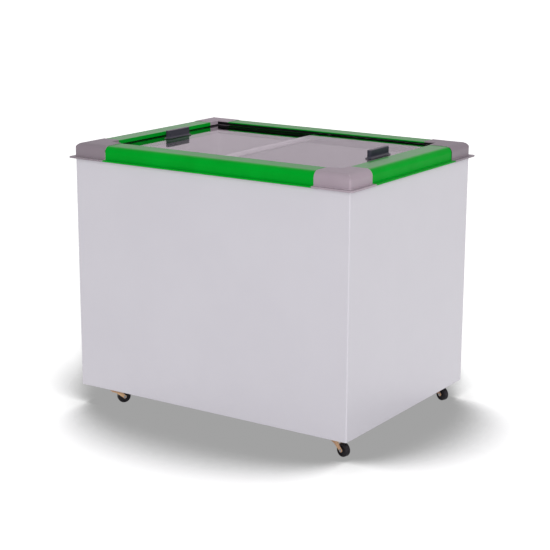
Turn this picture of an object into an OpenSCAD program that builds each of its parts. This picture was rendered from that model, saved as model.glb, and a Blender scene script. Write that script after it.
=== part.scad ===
// Chest freezer with two sliding glass lids, on four swivel casters.
// X runs along the front (+X to the right), Y runs from the front to the back, Z is up.
// The origin is the centre of the footprint on the floor.

/* [Cabinet] */
// Width of the cabinet
cabinet_w = 950; // [860:5:1200]
// Depth of the cabinet
cabinet_d = 695; // [620:5:800]
// Height of the cabinet, from its bottom edge to the top frame
cabinet_h = 705; // [650:5:800]
// Thickness of the outer steel sheet
sheet_t = 0.8; // [0.6:0.1:1.2]
// Radius of the upright corners of the sheet
sheet_r = 3; // [2:0.5:6]
// Width of the folded edges of the sheet
flange_w = 15; // [10:1:20]
// Thickness of the base pan
base_t = 1.2; // [1:0.1:2]
// Height of the base pan's turned-up edge
base_lip_h = 22; // [15:1:30]

/* [Inner tub] */
// Distance from the outside of the cabinet to the inside of the tub
tub_inset = 68; // [60:1:72]
// Thickness of the tub's sheet
tub_t = 1; // [0.8:0.1:1.5]
// Radius of the tub's upright corners
tub_r = 16; // [10:1:30]
// Height of the tub's floor above the cabinet's bottom edge
tub_floor_h = 70; // [60:1:90]
// Height of the step over the compressor, above the tub's floor
step_h = 235; // [225:5:300]
// Width of the tub's rim that lies under the top frame
tub_rim_w = 44; // [30:1:46]

/* [Compressor compartment] */
// Width of the compartment
bay_w = 240; // [230:5:280]
// Height of the compartment
bay_h = 235; // [225:5:245]
// Thickness of the compartment's sheet
bay_t = 1; // [0.8:0.1:1.5]
// Insulation over the compartment, up to the tub's sheet
bay_cover_t = 66; // [60:1:70]

/* [Top frame] */
// Height of the rails
rail_h = 43.5; // [42:0.5:50]
// Width of the rails, seen from above
rail_w = 72; // [72:1:80]
// Radius of the rails' upper outer edge
rail_r = 18; // [10:1:20]
// Wall of the hollow rails
rail_wall = 2.5; // [2:0.1:3]
// Width of the hollow chamber in each rail
chamber_w = 46; // [36:1:50]
// Reach of the fin around the foot of the frame
fin_reach = 15; // [8:1:20]
// Thickness of the fin
fin_t = 4.5; // [4:0.5:8]
// Length of each corner piece along the cabinet's edge
corner_len = 114; // [100:1:140]
// How far the corner pieces stand proud of the rails
corner_proud = 1.5; // [0.5:0.1:2.5]
// Radius of the corner pieces' upright edge
corner_edge_r = 6; // [3:0.5:12]
// Wall of the hollow corner pieces
corner_wall = 3; // [2:0.5:5]
// Length of the tongues that join the corner pieces to the rails
tongue_len = 36; // [20:1:60]
// Height of the tongues
tongue_h = 16; // [12:1:18]

/* [Sliding lids] */
// Thickness of the glass
glass_t = 4; // [3:0.5:5]
// Depth of the upper glass below the top of the rails
glass_drop = 7.8; // [6:0.2:9]
// Thickness of the lip over the upper track
track_cover_t = 3; // [2:0.2:4]
// Thickness of the web between the two tracks
track_web_t = 1.6; // [1:0.1:2.5]
// Room over the lower glass
track_room = 0.6; // [0.4:0.1:1.5]
// Depth of the tracks in the front and rear rails
track_depth = 12; // [10:0.5:13]
// Depth of the slots in the end rails
end_slot_depth = 9; // [7:0.5:12]
// Thickness of the pile seals at the back of the tracks
seal_t = 2.5; // [1.5:0.1:3]
// Play between the glass and the back of the tracks
glass_play = 0.5; // [0.3:0.1:1]
// Overlap of the two lids at the middle
lid_overlap = 40; // [20:1:80]
// Radius of the glass corners in plan
glass_corner_r = 3; // [1:0.5:6]
// Gap between sliding pieces
slide_gap = 0.3; // [0.2:0.05:0.4]
// Count of fine ribs along the end rails
rib_count = 4; // [2:1:5]
// Depth of the grooves between those ribs
rib_depth = 0.8; // [0.4:0.1:1.5]

/* [Lid handles] */
// Length of the handles
handle_l = 110; // [80:1:140]
// Thickness of the handles
handle_t = 14; // [10:1:18]
// Height of the handles above the glass
handle_h = 25.5; // [18:1:35]
// Reach of the flared foot
handle_flare = 6; // [4:0.5:9]
// Radius of the handle's upper edge
handle_edge_r = 2; // [1:0.5:3]
// Distance from the end of the cabinet to the middle of the handle
handle_inset = 116; // [105:1:160]
// Thickness of the adhesive pad under each handle
pad_t = 1; // [0.5:0.1:1.5]

/* [Casters] */
// Height of the cabinet's bottom edge above the floor
caster_h = 60; // [59:0.5:70]
// Radius of the wheels
wheel_r = 20; // [16:0.5:21]
// Width of the wheels
wheel_w = 18; // [12:0.5:18]
// Distance from the swivel axis to the axle
caster_trail = 25; // [22:0.5:28]
// Gap between the legs of the fork
fork_gap = 20; // [19:0.5:22]
// Thickness of the fork's sheet
fork_t = 2; // [1.5:0.1:3]
// Radius of the swivel race
race_r = 17; // [16:0.5:20]
// Side of the mounting plate
plate_side = 50; // [46:1:60]
// Thickness of the mounting plate
plate_t = 2.5; // [2:0.1:3]
// Distance between the plate's bolts
plate_pitch = 38; // [34:1:40]
// Radius of the axles
axle_r = 2.5; // [2:0.5:3]
// Radius of the kingpins
kingpin_r = 4; // [3:0.5:5]
// Running clearance of shafts and pins, on the radius
run_gap = 0.05; // [0.02:0.01:0.1]
// Distance of the left casters from the left side
caster_inset_left = 89; // [60:1:110]
// Distance of the right casters from the right side
caster_inset_right = 60; // [50:1:110]
// Distance of the front casters from the front
caster_inset_front = 53; // [50:1:80]
// Distance of the rear casters from the back
caster_inset_rear = 42; // [40:1:80]
// Direction in which the front left caster trails
front_left_angle = 54; // [-180:1:180]
// Direction in which the front right caster trails
front_right_angle = -15; // [-180:1:180]
// Direction in which the rear left caster trails
rear_left_angle = 12; // [-180:1:180]
// Direction in which the rear right caster trails
rear_right_angle = -20; // [-180:1:180]

/* [Refrigeration] */
// Radius of the compressor shell
compressor_r = 72; // [60:1:75]
// Height of the compressor shell
compressor_h = 158; // [140:1:165]
// Distance from the left side to the compressor's axis
compressor_x = 124; // [110:1:135]
// Distance from the back to the compressor's axis
compressor_y = 210; // [180:5:240]
// Height of the rubber mounts
mount_h = 14; // [10:1:18]
// Diameter of the evaporator tube
evaporator_tube_d = 8; // [6:0.5:10]
// Count of evaporator turns round the tub
evaporator_turns = 5; // [3:1:5]
// Diameter of the condenser tube
condenser_tube_d = 5; // [4:0.5:6]
// Count of condenser turns inside the outer sheet
condenser_turns = 4; // [2:1:5]
// Height of the lowest turns above the cabinet's bottom edge
turns_h = 330; // [320:5:340]
// Rise from one turn to the next
turn_pitch = 65; // [55:1:66]

/* [Side grille] */
// Width of the grille panel
grille_w = 300; // [280:5:340]
// Height of the grille panel
grille_h = 170; // [150:5:185]
// Thickness of the grille panel
grille_t = 2.5; // [2:0.1:4]
// Distance from the back to the grille panel
grille_inset = 60; // [50:5:100]
// Height of the grille panel above the cabinet's bottom edge
grille_z = 35; // [30:1:45]
// Width of the louvred field
louvre_w = 190; // [150:5:200]
// Count of louvres
louvre_count = 9; // [5:1:10]
// Height of each louvre's slot
louvre_gap = 6; // [4:0.5:8]
// Radius of the thermostat knob
knob_r = 18; // [14:0.5:22]
// Height of the thermostat knob
knob_h = 14; // [10:1:20]
// Radius of the thermostat's shaft
knob_shaft_r = 3; // [2:0.5:4]

/* [Drain and cable inlet] */
// Outer radius of the drain tube
drain_r = 12; // [10:0.5:15]
// Wall of the drain tube
drain_wall = 2; // [1.5:0.1:3]
// Distance from the front to the drain
drain_inset = 120; // [105:5:160]
// Radius of the hole for the cable inlet
inlet_r = 9; // [7:0.5:12]
// Distance from the left side to the cable inlet
inlet_inset = 60; // [40:5:90]
// Height of the cable inlet above the cabinet's bottom edge
inlet_z = 60; // [45:5:90]

/* [Fasteners] */
// Radius of the bolts that hold the casters and the compressor
bolt_r = 3; // [2:0.5:3.5]
// Radius of the sheet metal screws
screw_r = 2; // [1.5:0.1:2.5]
// Radius of the screw heads
screw_head_r = 4; // [3:0.5:5]
// Height of the screw heads
screw_head_h = 2; // [1.5:0.1:3]
// Length of the screws
screw_len = 9; // [7:1:12]

/* [Hidden] */
$fn = 64;
eps = 0.01;

// Colours
sheet_grey = [0.81, 0.80, 0.83];
rail_green = [0.00, 0.63, 0.17];
corner_grey = [0.60, 0.55, 0.60];
tub_grey = [0.74, 0.70, 0.74];
handle_slate = [0.25, 0.25, 0.30];
zinc_yellow = [0.80, 0.62, 0.40];
wheel_black = [0.06, 0.05, 0.07];

// Levels
bottom_z = caster_h;
frame_z = bottom_z + cabinet_h;
frame_top = frame_z + rail_h;
left_x = -cabinet_w / 2;
right_x = cabinet_w / 2;
front_y = -cabinet_d / 2;
rear_y = cabinet_d / 2;
tub_floor_z = bottom_z + tub_floor_h;
step_z = tub_floor_z + step_h;
bay_roof_z = bottom_z + base_t + bay_h;
step_x = left_x + bay_w + bay_cover_t;

// Tracks, as depths below the top of the rails
upper_glass_z = frame_top - glass_drop - glass_t;
upper_floor = glass_drop + glass_t + slide_gap;
lower_roof = upper_floor + track_web_t;
lower_glass_drop = lower_roof + track_room;
lower_glass_z = frame_top - lower_glass_drop - glass_t;
lower_floor = lower_glass_drop + glass_t + slide_gap;
glass_bite = track_depth - seal_t - glass_play;
end_bite = end_slot_depth - seal_t - glass_play;
glass_d = cabinet_d - 2 * (rail_w - glass_bite);
lid_w = cabinet_w / 2 + lid_overlap / 2 - rail_w + end_bite;

// ---------- shared shapes ----------

// A rectangle centred on the origin, with its front corners rounded
module front_rounded(w, d, r) {
    translate([-w / 2, -d / 2 + r])
        square([w, d - r]);
    translate([-w / 2 + r, -d / 2])
        square([w - 2 * r, r + eps]);
    for (side = [-1, 1])
        translate([side * (w / 2 - r), -d / 2 + r])
            circle(r);
}

// A rectangle centred on the origin, with all corners rounded
module rounded(w, d, r) {
    translate([-w / 2 + r, -d / 2])
        square([w - 2 * r, d]);
    translate([-w / 2, -d / 2 + r])
        square([w, d - 2 * r]);
    for (i = [-1, 1], j = [-1, 1])
        translate([i * (w / 2 - r), j * (d / 2 - r)])
            circle(r);
}

// A round bar between two points
module bar(p, q, r) {
    v = q - p;
    len = norm(v);
    translate(p)
        rotate([0, acos(v[2] / len), atan2(v[1], v[0])])
            cylinder(r = r, h = len);
}

// A tube along a list of points, with round elbows
module tube_run(points, r) {
    for (i = [0 : len(points) - 2])
        bar(points[i], points[i + 1], r);
    for (i = [1 : len(points) - 2])
        translate(points[i])
            sphere(r);
}

// A pan-head screw along -Z from the origin
module screw(r, length, head_r, head_h) {
    translate([0, 0, -length])
        cylinder(r = r, h = length + eps);
    cylinder(r = head_r, h = head_h);
}

// A hexagonal head or nut along +Z
module hexagon(across, h) {
    cylinder(d = across / cos(30), h = h, $fn = 6);
}

// ---------- cabinet ----------

module cabinet_wrapper() {
    color(sheet_grey)
        difference() {
            union() {
                translate([0, 0, bottom_z])
                    linear_extrude(cabinet_h)
                        difference() {
                            translate([0, -sheet_t / 2])
                                front_rounded(cabinet_w, cabinet_d - sheet_t, sheet_r);
                            translate([0, -sheet_t / 2])
                                front_rounded(cabinet_w - 2 * sheet_t, cabinet_d - 3 * sheet_t,
                                              sheet_r - sheet_t);
                            translate([left_x + flange_w, rear_y - 4 * sheet_t])
                                square([cabinet_w - 2 * flange_w, 5 * sheet_t]);
                        }
                // Top edge, folded inwards at the front and the sides
                translate([0, 0, frame_z - sheet_t])
                    linear_extrude(sheet_t)
                        difference() {
                            translate([0, -sheet_t])
                                square([cabinet_w - sheet_t, cabinet_d - 2.5 * sheet_t],
                                       center = true);
                            translate([-cabinet_w / 2 + flange_w, front_y + flange_w])
                                square([cabinet_w - 2 * flange_w, cabinet_d]);
                        }
            }
            // Opening behind the side grille
            translate([left_x - 1, grille_y + grille_rim, bottom_z + grille_z + grille_rim])
                cube([sheet_t + 2, grille_w - 2 * grille_rim, grille_h - 2 * grille_rim]);
            grille_screw_places()
                rotate([0, -90, 0])
                    cylinder(r = screw_r, h = 8, center = true);
            // Screw holes for the rear panel in the rear flanges
            rear_screw_places()
                rotate([-90, 0, 0])
                    cylinder(r = screw_r, h = 8, center = true);
        }
}

// Holes and louvres in the rear panel
vent_count = 7;
vent_w = 150;
vent_h = 5;
vent_pitch = 14;
vent_z = 80;

module rear_panel() {
    color([0.66, 0.67, 0.69])
        difference() {
            translate([left_x + sheet_t + slide_gap, rear_y - sheet_t, bottom_z])
                cube([cabinet_w - 2 * sheet_t - 2 * slide_gap, sheet_t, cabinet_h]);
            for (i = [0 : vent_count - 1])
                translate([left_x + inlet_inset + 2 * inlet_r, rear_y - sheet_t - 1,
                           bottom_z + vent_z + i * vent_pitch])
                    cube([vent_w, sheet_t + 2, vent_h]);
            translate([left_x + inlet_inset, rear_y, bottom_z + inlet_z])
                rotate([90, 0, 0])
                    cylinder(r = inlet_r, h = 4 * sheet_t, center = true);
            rear_screw_places()
                rotate([-90, 0, 0])
                    cylinder(r = screw_r, h = 8, center = true);
        }
}

// Heights of the screws, clear of the condenser's turns
rear_screw_rows = [
    for (i = [-4, -2, 0.5, 2.5]) turns_h + i * turn_pitch,
    cabinet_h - 20
];

module rear_screw_places() {
    for (side = [-1, 1], h = rear_screw_rows)
        translate([side * (cabinet_w - flange_w) / 2, rear_y, bottom_z + h])
            children();
}

module rear_panel_screws() {
    color("silver")
        rear_screw_places()
            rotate([-90, 0, 0])
                screw(screw_r, screw_len, screw_head_r, screw_head_h);
}

module base_pan() {
    inner_w = cabinet_w - 2 * sheet_t - 2 * slide_gap;
    inner_d = cabinet_d - 3 * sheet_t - 2 * slide_gap;
    color([0.62, 0.63, 0.65])
        translate([0, -sheet_t / 2, 0])
            difference() {
                translate([0, 0, bottom_z])
                    linear_extrude(base_lip_h)
                        front_rounded(inner_w, inner_d, sheet_r);
                translate([0, 0, bottom_z + base_t])
                    linear_extrude(base_lip_h)
                        front_rounded(inner_w - 2 * base_t, inner_d - 2 * base_t, sheet_r - base_t);
                translate([0, sheet_t / 2, 0]) {
                    drain_place()
                        translate([0, 0, bottom_z - 1])
                            cylinder(r = drain_r, h = base_t + 2);
                    compressor_bolt_places(bottom_z - 1)
                        cylinder(r = bolt_r, h = base_t + 2);
                    caster_places()
                        plate_bolt_places()
                            translate([0, 0, bottom_z - 1])
                                cylinder(r = bolt_r, h = base_t + 2);
                }
            }
}

// The sheet round the compressor: an upright wall and a roof
module compressor_bay() {
    bay_d = cabinet_d - 3 * sheet_t - 2 * base_t - 4 * slide_gap;
    wall_x = left_x + bay_w - bay_t;
    left_end = left_x + sheet_t + base_t + 2 * slide_gap;
    color([0.62, 0.63, 0.65])
        difference() {
            union() {
                translate([wall_x, -sheet_t / 2 - bay_d / 2, bottom_z + base_t])
                    cube([bay_t, bay_d, bay_h]);
                translate([left_end, -sheet_t / 2 - bay_d / 2, bay_roof_z - bay_t])
                    cube([wall_x + bay_t - left_end, bay_d, bay_t]);
            }
            tube_holes();
        }
}

module insulation_foam() {
    outer_w = cabinet_w - 2 * sheet_t;
    outer_d = cabinet_d - 3 * sheet_t;
    color([0.93, 0.87, 0.62])
        difference() {
            translate([0, -sheet_t / 2, bottom_z + base_t])
                linear_extrude(cabinet_h - base_t - tub_t)
                    front_rounded(outer_w, outer_d, sheet_r - sheet_t);
            // Room for the turned-up edge of the base pan
            translate([0, -sheet_t / 2, bottom_z])
                linear_extrude(base_lip_h)
                    difference() {
                        square([cabinet_w, cabinet_d], center = true);
                        front_rounded(outer_w - 2 * (base_t + slide_gap), outer_d - 2 * (base_t + slide_gap),
                                      sheet_r - base_t);
                    }
            tub_space(tub_t, 1);
            // Compressor compartment
            translate([left_x - 1, front_y - 1, bottom_z])
                cube([bay_w + 1, cabinet_d + 2, base_t + bay_h]);
            drain_place()
                translate([0, 0, bottom_z])
                    cylinder(r = drain_r, h = tub_floor_h);
            drain_place()
                translate([0, 0, tub_floor_z - drain_sink - tub_t])
                    cylinder(r = sink_r + tub_t, h = drain_sink + tub_t);
            evaporator_grooves();
            condenser_grooves();
            tube_holes();
            // Room for the nuts of the caster bolts
            caster_places()
                plate_bolt_places()
                    translate([0, 0, bottom_z])
                        cylinder(r = bolt_r + 4, h = base_t + 5);
            // Tips of the rear panel's screws
            rear_screw_places()
                rotate([90, 0, 0])
                    cylinder(r = screw_r + slide_gap, h = screw_len + 1);
        }
}

// The space inside the tub, grown outwards by "grow" and upwards by "rise"
module tub_space(grow, rise) {
    difference() {
        translate([0, 0, tub_floor_z - grow])
            linear_extrude(frame_z - tub_floor_z + grow + rise)
                rounded(cabinet_w - 2 * tub_inset + 2 * grow, cabinet_d - 2 * tub_inset + 2 * grow,
                        tub_r + grow);
        translate([left_x, front_y, bottom_z])
            cube([step_x - left_x - grow, cabinet_d, step_z - bottom_z - grow]);
    }
}

module inner_tub() {
    color(tub_grey)
        difference() {
            union() {
                intersection() {
                    tub_space(tub_t, 0);
                    translate([left_x, front_y, 0])
                        cube([cabinet_w, cabinet_d, frame_z]);
                }
                // Rim under the top frame
                translate([0, 0, frame_z - tub_t])
                    linear_extrude(tub_t)
                        rounded(cabinet_w - 2 * tub_inset + 2 * tub_rim_w,
                                cabinet_d - 2 * tub_inset + 2 * tub_rim_w, tub_r);
                // Sunk seat of the drain
                drain_place()
                    translate([0, 0, tub_floor_z - drain_sink - tub_t])
                        cylinder(r = sink_r + tub_t, h = drain_sink + tub_t);
            }
            tub_space(0, 1);
            drain_place()
                translate([0, 0, tub_floor_z - drain_sink])
                    cylinder(r = sink_r, h = drain_sink + 1);
            drain_place()
                translate([0, 0, tub_floor_z - drain_sink - tub_t - 1])
                    cylinder(r = drain_r, h = tub_t + 2);
        }
}

// ---------- top frame ----------

// Upper outer edge of a rail: what the rounding takes off
module rail_edge_cut(r, h) {
    difference() {
        translate([-1, h - r])
            square([r + 1, r + 1]);
        translate([r, h - r])
            circle(r);
    }
}

// Outline of a rail across its length: X inwards from the cabinet's face, Y up from its bottom
module rail_outline() {
    difference() {
        square([rail_w, rail_h]);
        rail_edge_cut(rail_r, rail_h);
    }
    fin_outline(rail_wall);
}

// Section of the fin, running "inwards" past the face
module fin_outline(inwards) {
    translate([-fin_reach + fin_t / 2, 0])
        square([fin_reach - fin_t / 2 + inwards, fin_t]);
    translate([-fin_reach + fin_t / 2, fin_t / 2])
        circle(fin_t / 2);
}

module rail_chamber() {
    inner_r = rail_r - rail_wall;
    translate([rail_wall, rail_wall])
        difference() {
            square([chamber_w, rail_h - 2 * rail_wall]);
            rail_edge_cut(inner_r, rail_h - 2 * rail_wall);
        }
    // Second chamber under the tracks
    translate([2 * rail_wall + chamber_w, rail_wall])
        square([rail_w - chamber_w - 3 * rail_wall, rail_h - lower_floor - 2 * rail_wall]);
}

// Front and rear rails: both tracks run their full length
module track_profile() {
    difference() {
        rail_outline();
        rail_chamber();
        track_cuts();
    }
}

module track_cuts() {
    translate([rail_w - track_depth, rail_h - upper_floor])
        square([track_depth + 1, upper_floor - track_cover_t]);
    translate([rail_w - track_depth, rail_h - lower_floor])
        square([track_depth + 1, lower_floor - lower_roof]);
}

// End rails: one slot for the lid that closes there, and fine ribs above and below it
module end_profile(slot_floor, slot_roof) {
    difference() {
        rail_outline();
        rail_chamber();
        translate([rail_w - end_slot_depth, rail_h - slot_floor])
            square([end_slot_depth + 1, slot_floor - slot_roof]);
        rib_cuts(slot_roof);
    }
}

module rib_cuts(slot_roof) {
    pitch = (slot_roof - 1) / (rib_count + 1);
    for (i = [1 : rib_count])
        translate([rail_w, rail_h - i * pitch])
            circle(rib_depth, $fn = 24);
}

module along_x(length) {
    translate([-length / 2, 0, 0])
        rotate([90, 0, 90])
            linear_extrude(length)
                children();
}

module along_y(length) {
    translate([0, length / 2, 0])
        rotate([90, 0, 0])
            linear_extrude(length)
                children();
}

module front_rail() {
    color(rail_green)
        translate([0, front_y, frame_z])
            along_x(cabinet_w - 2 * corner_len)
                track_profile();
}

module rear_rail() {
    color(rail_green)
        translate([0, rear_y, frame_z])
            mirror([0, 1, 0])
                along_x(cabinet_w - 2 * corner_len)
                    track_profile();
}

module left_rail() {
    color(rail_green)
        translate([left_x, 0, frame_z])
            along_y(cabinet_d - 2 * corner_len)
                end_profile(lower_floor, lower_roof);
}

module right_rail() {
    color(rail_green)
        translate([right_x, 0, frame_z])
            mirror([1, 0, 0])
                along_y(cabinet_d - 2 * corner_len)
                    end_profile(upper_floor, upper_slot_roof);
}

upper_slot_roof = glass_drop - track_room;

// Outline of a corner piece's body across one arm, reaching "inwards"
module corner_outline(inwards) {
    difference() {
        translate([-corner_proud, 0])
            square([inwards + corner_proud, rail_h + corner_proud]);
        translate([-corner_proud, corner_proud])
            rail_edge_cut(rail_r + corner_proud, rail_h);
    }
}

// The L in plan, with its outer corner rounded, "out" beyond the cabinet's faces
module corner_plan(out, r) {
    difference() {
        translate([-out, -out])
            square([corner_len + out, corner_len + out]);
        translate([rail_w, rail_w])
            square([corner_len, corner_len]);
        difference() {
            translate([-out - 1, -out - 1])
                square([r + 1, r + 1]);
            translate([r - out, r - out])
                circle(r);
        }
    }
}

// A corner piece with its corner at the origin and its arms along +X and +Y
module corner_piece(slot_floor, slot_roof) {
    tongue_w = chamber_w - 2 * slide_gap;
    difference() {
        union() {
            intersection() {
                linear_extrude(rail_h + corner_proud + 1)
                    corner_plan(corner_proud, corner_edge_r);
                translate([corner_len / 2, 0, 0])
                    along_x(corner_len + 2 * fin_reach)
                        corner_outline(corner_len);
                translate([0, corner_len / 2, 0])
                    along_y(corner_len + 2 * fin_reach)
                        corner_outline(corner_len);
            }
            linear_extrude(fin_t)
                corner_plan(fin_reach, corner_edge_r);
            translate([corner_len - eps, rail_wall + slide_gap, rail_wall + slide_gap])
                cube([tongue_len, tongue_w, tongue_h]);
            translate([rail_wall + slide_gap, corner_len - eps, rail_wall + slide_gap])
                cube([tongue_w, tongue_len, tongue_h]);
        }
        // Tracks for the two lids
        corner_slot(rail_w - track_depth, corner_len + 1, upper_floor, track_cover_t);
        corner_slot(rail_w - track_depth, corner_len + 1, lower_floor, lower_roof);
        // Slot for the end of the lid that closes here
        translate([rail_w - end_slot_depth, rail_w - track_depth, rail_h - slot_floor])
            cube([end_slot_depth + 1, corner_len, slot_floor - slot_roof]);
        // Hollow from below
        translate([corner_wall, corner_wall, -1])
            cube([corner_len - 2 * corner_wall, rail_w - 2 * corner_wall, 1 + corner_hollow_h]);
        translate([corner_wall, corner_wall, -1])
            cube([rail_w - 2 * corner_wall, corner_len - 2 * corner_wall, 1 + corner_hollow_h]);
    }
}

corner_hollow_h = rail_h - lower_floor - corner_wall;

// A track along X in a corner piece
module corner_slot(back_y, end_x, floor_drop, roof_drop) {
    translate([rail_w - end_slot_depth, back_y, rail_h - floor_drop])
        cube([end_x - rail_w + end_slot_depth, rail_w - back_y + 1, floor_drop - roof_drop]);
}

module front_left_corner() {
    color(corner_grey)
        translate([left_x, front_y, frame_z])
            corner_piece(lower_floor, lower_roof);
}

module rear_left_corner() {
    color(corner_grey)
        translate([left_x, rear_y, frame_z])
            mirror([0, 1, 0])
                corner_piece(lower_floor, lower_roof);
}

module front_right_corner() {
    color(corner_grey)
        translate([right_x, front_y, frame_z])
            mirror([1, 0, 0])
                corner_piece(upper_floor, upper_slot_roof);
}

module rear_right_corner() {
    color(corner_grey)
        translate([right_x, rear_y, frame_z])
            mirror([1, 0, 0])
                mirror([0, 1, 0])
                    corner_piece(upper_floor, upper_slot_roof);
}

// Pile seals at the back of a pair of tracks, and of one end slot
module track_seals(floor_drop, roof_drop, end_side, end_floor, end_roof) {
    run = cabinet_w - 2 * (rail_w - end_slot_depth);
    for (side = [0, 1])
        mirror([0, side, 0])
            translate([-run / 2, front_y + rail_w - track_depth, frame_top - floor_drop])
                cube([run, seal_t, floor_drop - roof_drop]);
    end_run = cabinet_d - 2 * (rail_w - track_depth + seal_t);
    mirror([end_side, 0, 0])
        translate([left_x + rail_w - end_slot_depth, -end_run / 2, frame_top - end_floor])
            cube([seal_t, end_run, end_floor - end_roof]);
}

module upper_track_seals() {
    color([0.04, 0.04, 0.04])
        track_seals(upper_floor, track_cover_t, 1, upper_floor, upper_slot_roof);
}

module lower_track_seals() {
    color([0.04, 0.04, 0.04])
        track_seals(lower_floor, lower_roof, 0, lower_floor, lower_roof);
}

// ---------- lids ----------

module glass_pane(z) {
    translate([left_x + rail_w - end_bite + lid_w / 2, 0, z])
        linear_extrude(glass_t)
            rounded(lid_w, glass_d, glass_corner_r);
}

module left_glass() {
    color([0.75, 0.80, 0.80, 0.4])
        glass_pane(lower_glass_z);
}

module right_glass() {
    color([0.75, 0.80, 0.80, 0.4])
        mirror([1, 0, 0])
            glass_pane(upper_glass_z);
}

// Half of the handle's section: X from its middle, Y up from its foot
module handle_half_section() {
    half_t = handle_t / 2;
    body_h = handle_h - pad_t;
    foot_t = 1;
    difference() {
        square([half_t + handle_flare, body_h]);
        // Hollow flare
        translate([half_t + handle_flare, foot_t + handle_flare])
            circle(handle_flare);
        translate([half_t, foot_t + handle_flare])
            square([handle_flare + 1, body_h]);
        // Rounded upper edge
        translate([half_t - handle_edge_r, body_h - handle_edge_r])
            difference() {
                square(handle_edge_r + 1);
                circle(handle_edge_r);
            }
    }
}

module handle_shape() {
    straight = handle_l - handle_t;
    for (side = [-1, 1])
        translate([0, side * straight / 2, 0])
            rotate_extrude()
                handle_half_section();
    along_y(straight)
        union() {
            handle_half_section();
            mirror([1, 0])
                handle_half_section();
        }
}

module handle_pad_shape() {
    straight = handle_l - handle_t;
    linear_extrude(pad_t) {
        square([handle_t, straight], center = true);
        for (side = [-1, 1])
            translate([0, side * straight / 2])
                circle(handle_t / 2);
    }
}

module left_handle() {
    color(handle_slate)
        translate([left_x + handle_inset, 0, lower_glass_z + glass_t + pad_t])
            handle_shape();
}

module left_handle_pad() {
    color([0.1, 0.1, 0.1])
        translate([left_x + handle_inset, 0, lower_glass_z + glass_t])
            handle_pad_shape();
}

module right_handle() {
    color(handle_slate)
        translate([right_x - handle_inset, 0, upper_glass_z + glass_t + pad_t])
            handle_shape();
}

module right_handle_pad() {
    color([0.1, 0.1, 0.1])
        translate([right_x - handle_inset, 0, upper_glass_z + glass_t])
            handle_pad_shape();
}

// ---------- refrigeration ----------

// One flat turn of tube round a rounded rectangle, given at the tube's centre line
module tube_turn(w, d, r, tube_r) {
    for (side = [-1, 1]) {
        translate([0, side * d / 2, 0])
            rotate([0, 90, 0])
                cylinder(r = tube_r, h = w - 2 * r, center = true);
        translate([side * w / 2, 0, 0])
            rotate([90, 0, 0])
                cylinder(r = tube_r, h = d - 2 * r, center = true);
    }
    for (i = [-1, 1], j = [-1, 1])
        translate([i * (w / 2 - r), j * (d / 2 - r), 0])
            mirror([i < 0 ? 1 : 0, 0, 0])
                mirror([0, j < 0 ? 1 : 0, 0])
                    rotate_extrude(angle = 90)
                        translate([r, 0])
                            circle(tube_r);
}

evaporator_w = cabinet_w - 2 * tub_inset + 2 * tub_t + evaporator_tube_d;
evaporator_d = cabinet_d - 2 * tub_inset + 2 * tub_t + evaporator_tube_d;
evaporator_r = tub_r + tub_t + evaporator_tube_d / 2;
condenser_w = cabinet_w - 2 * sheet_t - condenser_tube_d - 2 * slide_gap;
condenser_d = cabinet_d - 3 * sheet_t - condenser_tube_d - 2 * slide_gap;
condenser_r = 14;

module turn_levels(count) {
    for (i = [0 : count - 1])
        translate([0, 0, bottom_z + turns_h + i * turn_pitch])
            children();
}

module evaporator_coil() {
    color([0.72, 0.45, 0.32]) {
        turn_levels(evaporator_turns)
            tube_turn(evaporator_w, evaporator_d, evaporator_r, evaporator_tube_d / 2);
        translate([-evaporator_w / 4, evaporator_d / 2, bottom_z + turns_h])
            cylinder(d = evaporator_tube_d * 0.75, h = (evaporator_turns - 1) * turn_pitch);
    }
}

module condenser_coil() {
    color([0.72, 0.45, 0.32])
        translate([0, -sheet_t / 2, 0]) {
            turn_levels(condenser_turns)
                tube_turn(condenser_w, condenser_d, condenser_r, condenser_tube_d / 2);
            translate([condenser_w / 4, condenser_d / 2, bottom_z + turns_h])
                cylinder(d = condenser_tube_d * 0.75, h = (condenser_turns - 1) * turn_pitch);
        }
}

module evaporator_grooves() {
    side = evaporator_tube_d + 2 * slide_gap;
    turn_levels(evaporator_turns)
        translate([0, 0, -side / 2])
            linear_extrude(side)
                rounded(evaporator_w + side, evaporator_d + side, evaporator_r + side / 2);
    translate([-evaporator_w / 4 - side / 2, evaporator_d / 2 - side, bottom_z + turns_h])
        cube([side, side * 1.5, (evaporator_turns - 1) * turn_pitch]);
}

module condenser_grooves() {
    side = condenser_tube_d + 2 * slide_gap;
    translate([0, -sheet_t / 2, 0]) {
        turn_levels(condenser_turns)
            translate([0, 0, -side / 2])
                linear_extrude(side)
                    difference() {
                        square([cabinet_w, cabinet_d], center = true);
                        rounded(condenser_w - side, condenser_d - side, condenser_r - side / 2);
                    }
        translate([condenser_w / 4 - side / 2, condenser_d / 2 - side / 2, bottom_z + turns_h])
            cube([side, side, (condenser_turns - 1) * turn_pitch]);
    }
}

compressor_place = [left_x + compressor_x, rear_y - compressor_y, bottom_z + base_t];
feet_t = 3;
feet_w = 186;
feet_d = 120;
mount_r = 11;
shell_z = mount_h + feet_t;

module compressor_bolt_places(z) {
    for (i = [-1, 1], j = [-1, 1])
        translate([compressor_place[0] + i * (feet_w / 2 - mount_r - 2),
                   compressor_place[1] + j * (feet_d / 2 - mount_r - 2), z])
            children();
}

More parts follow.
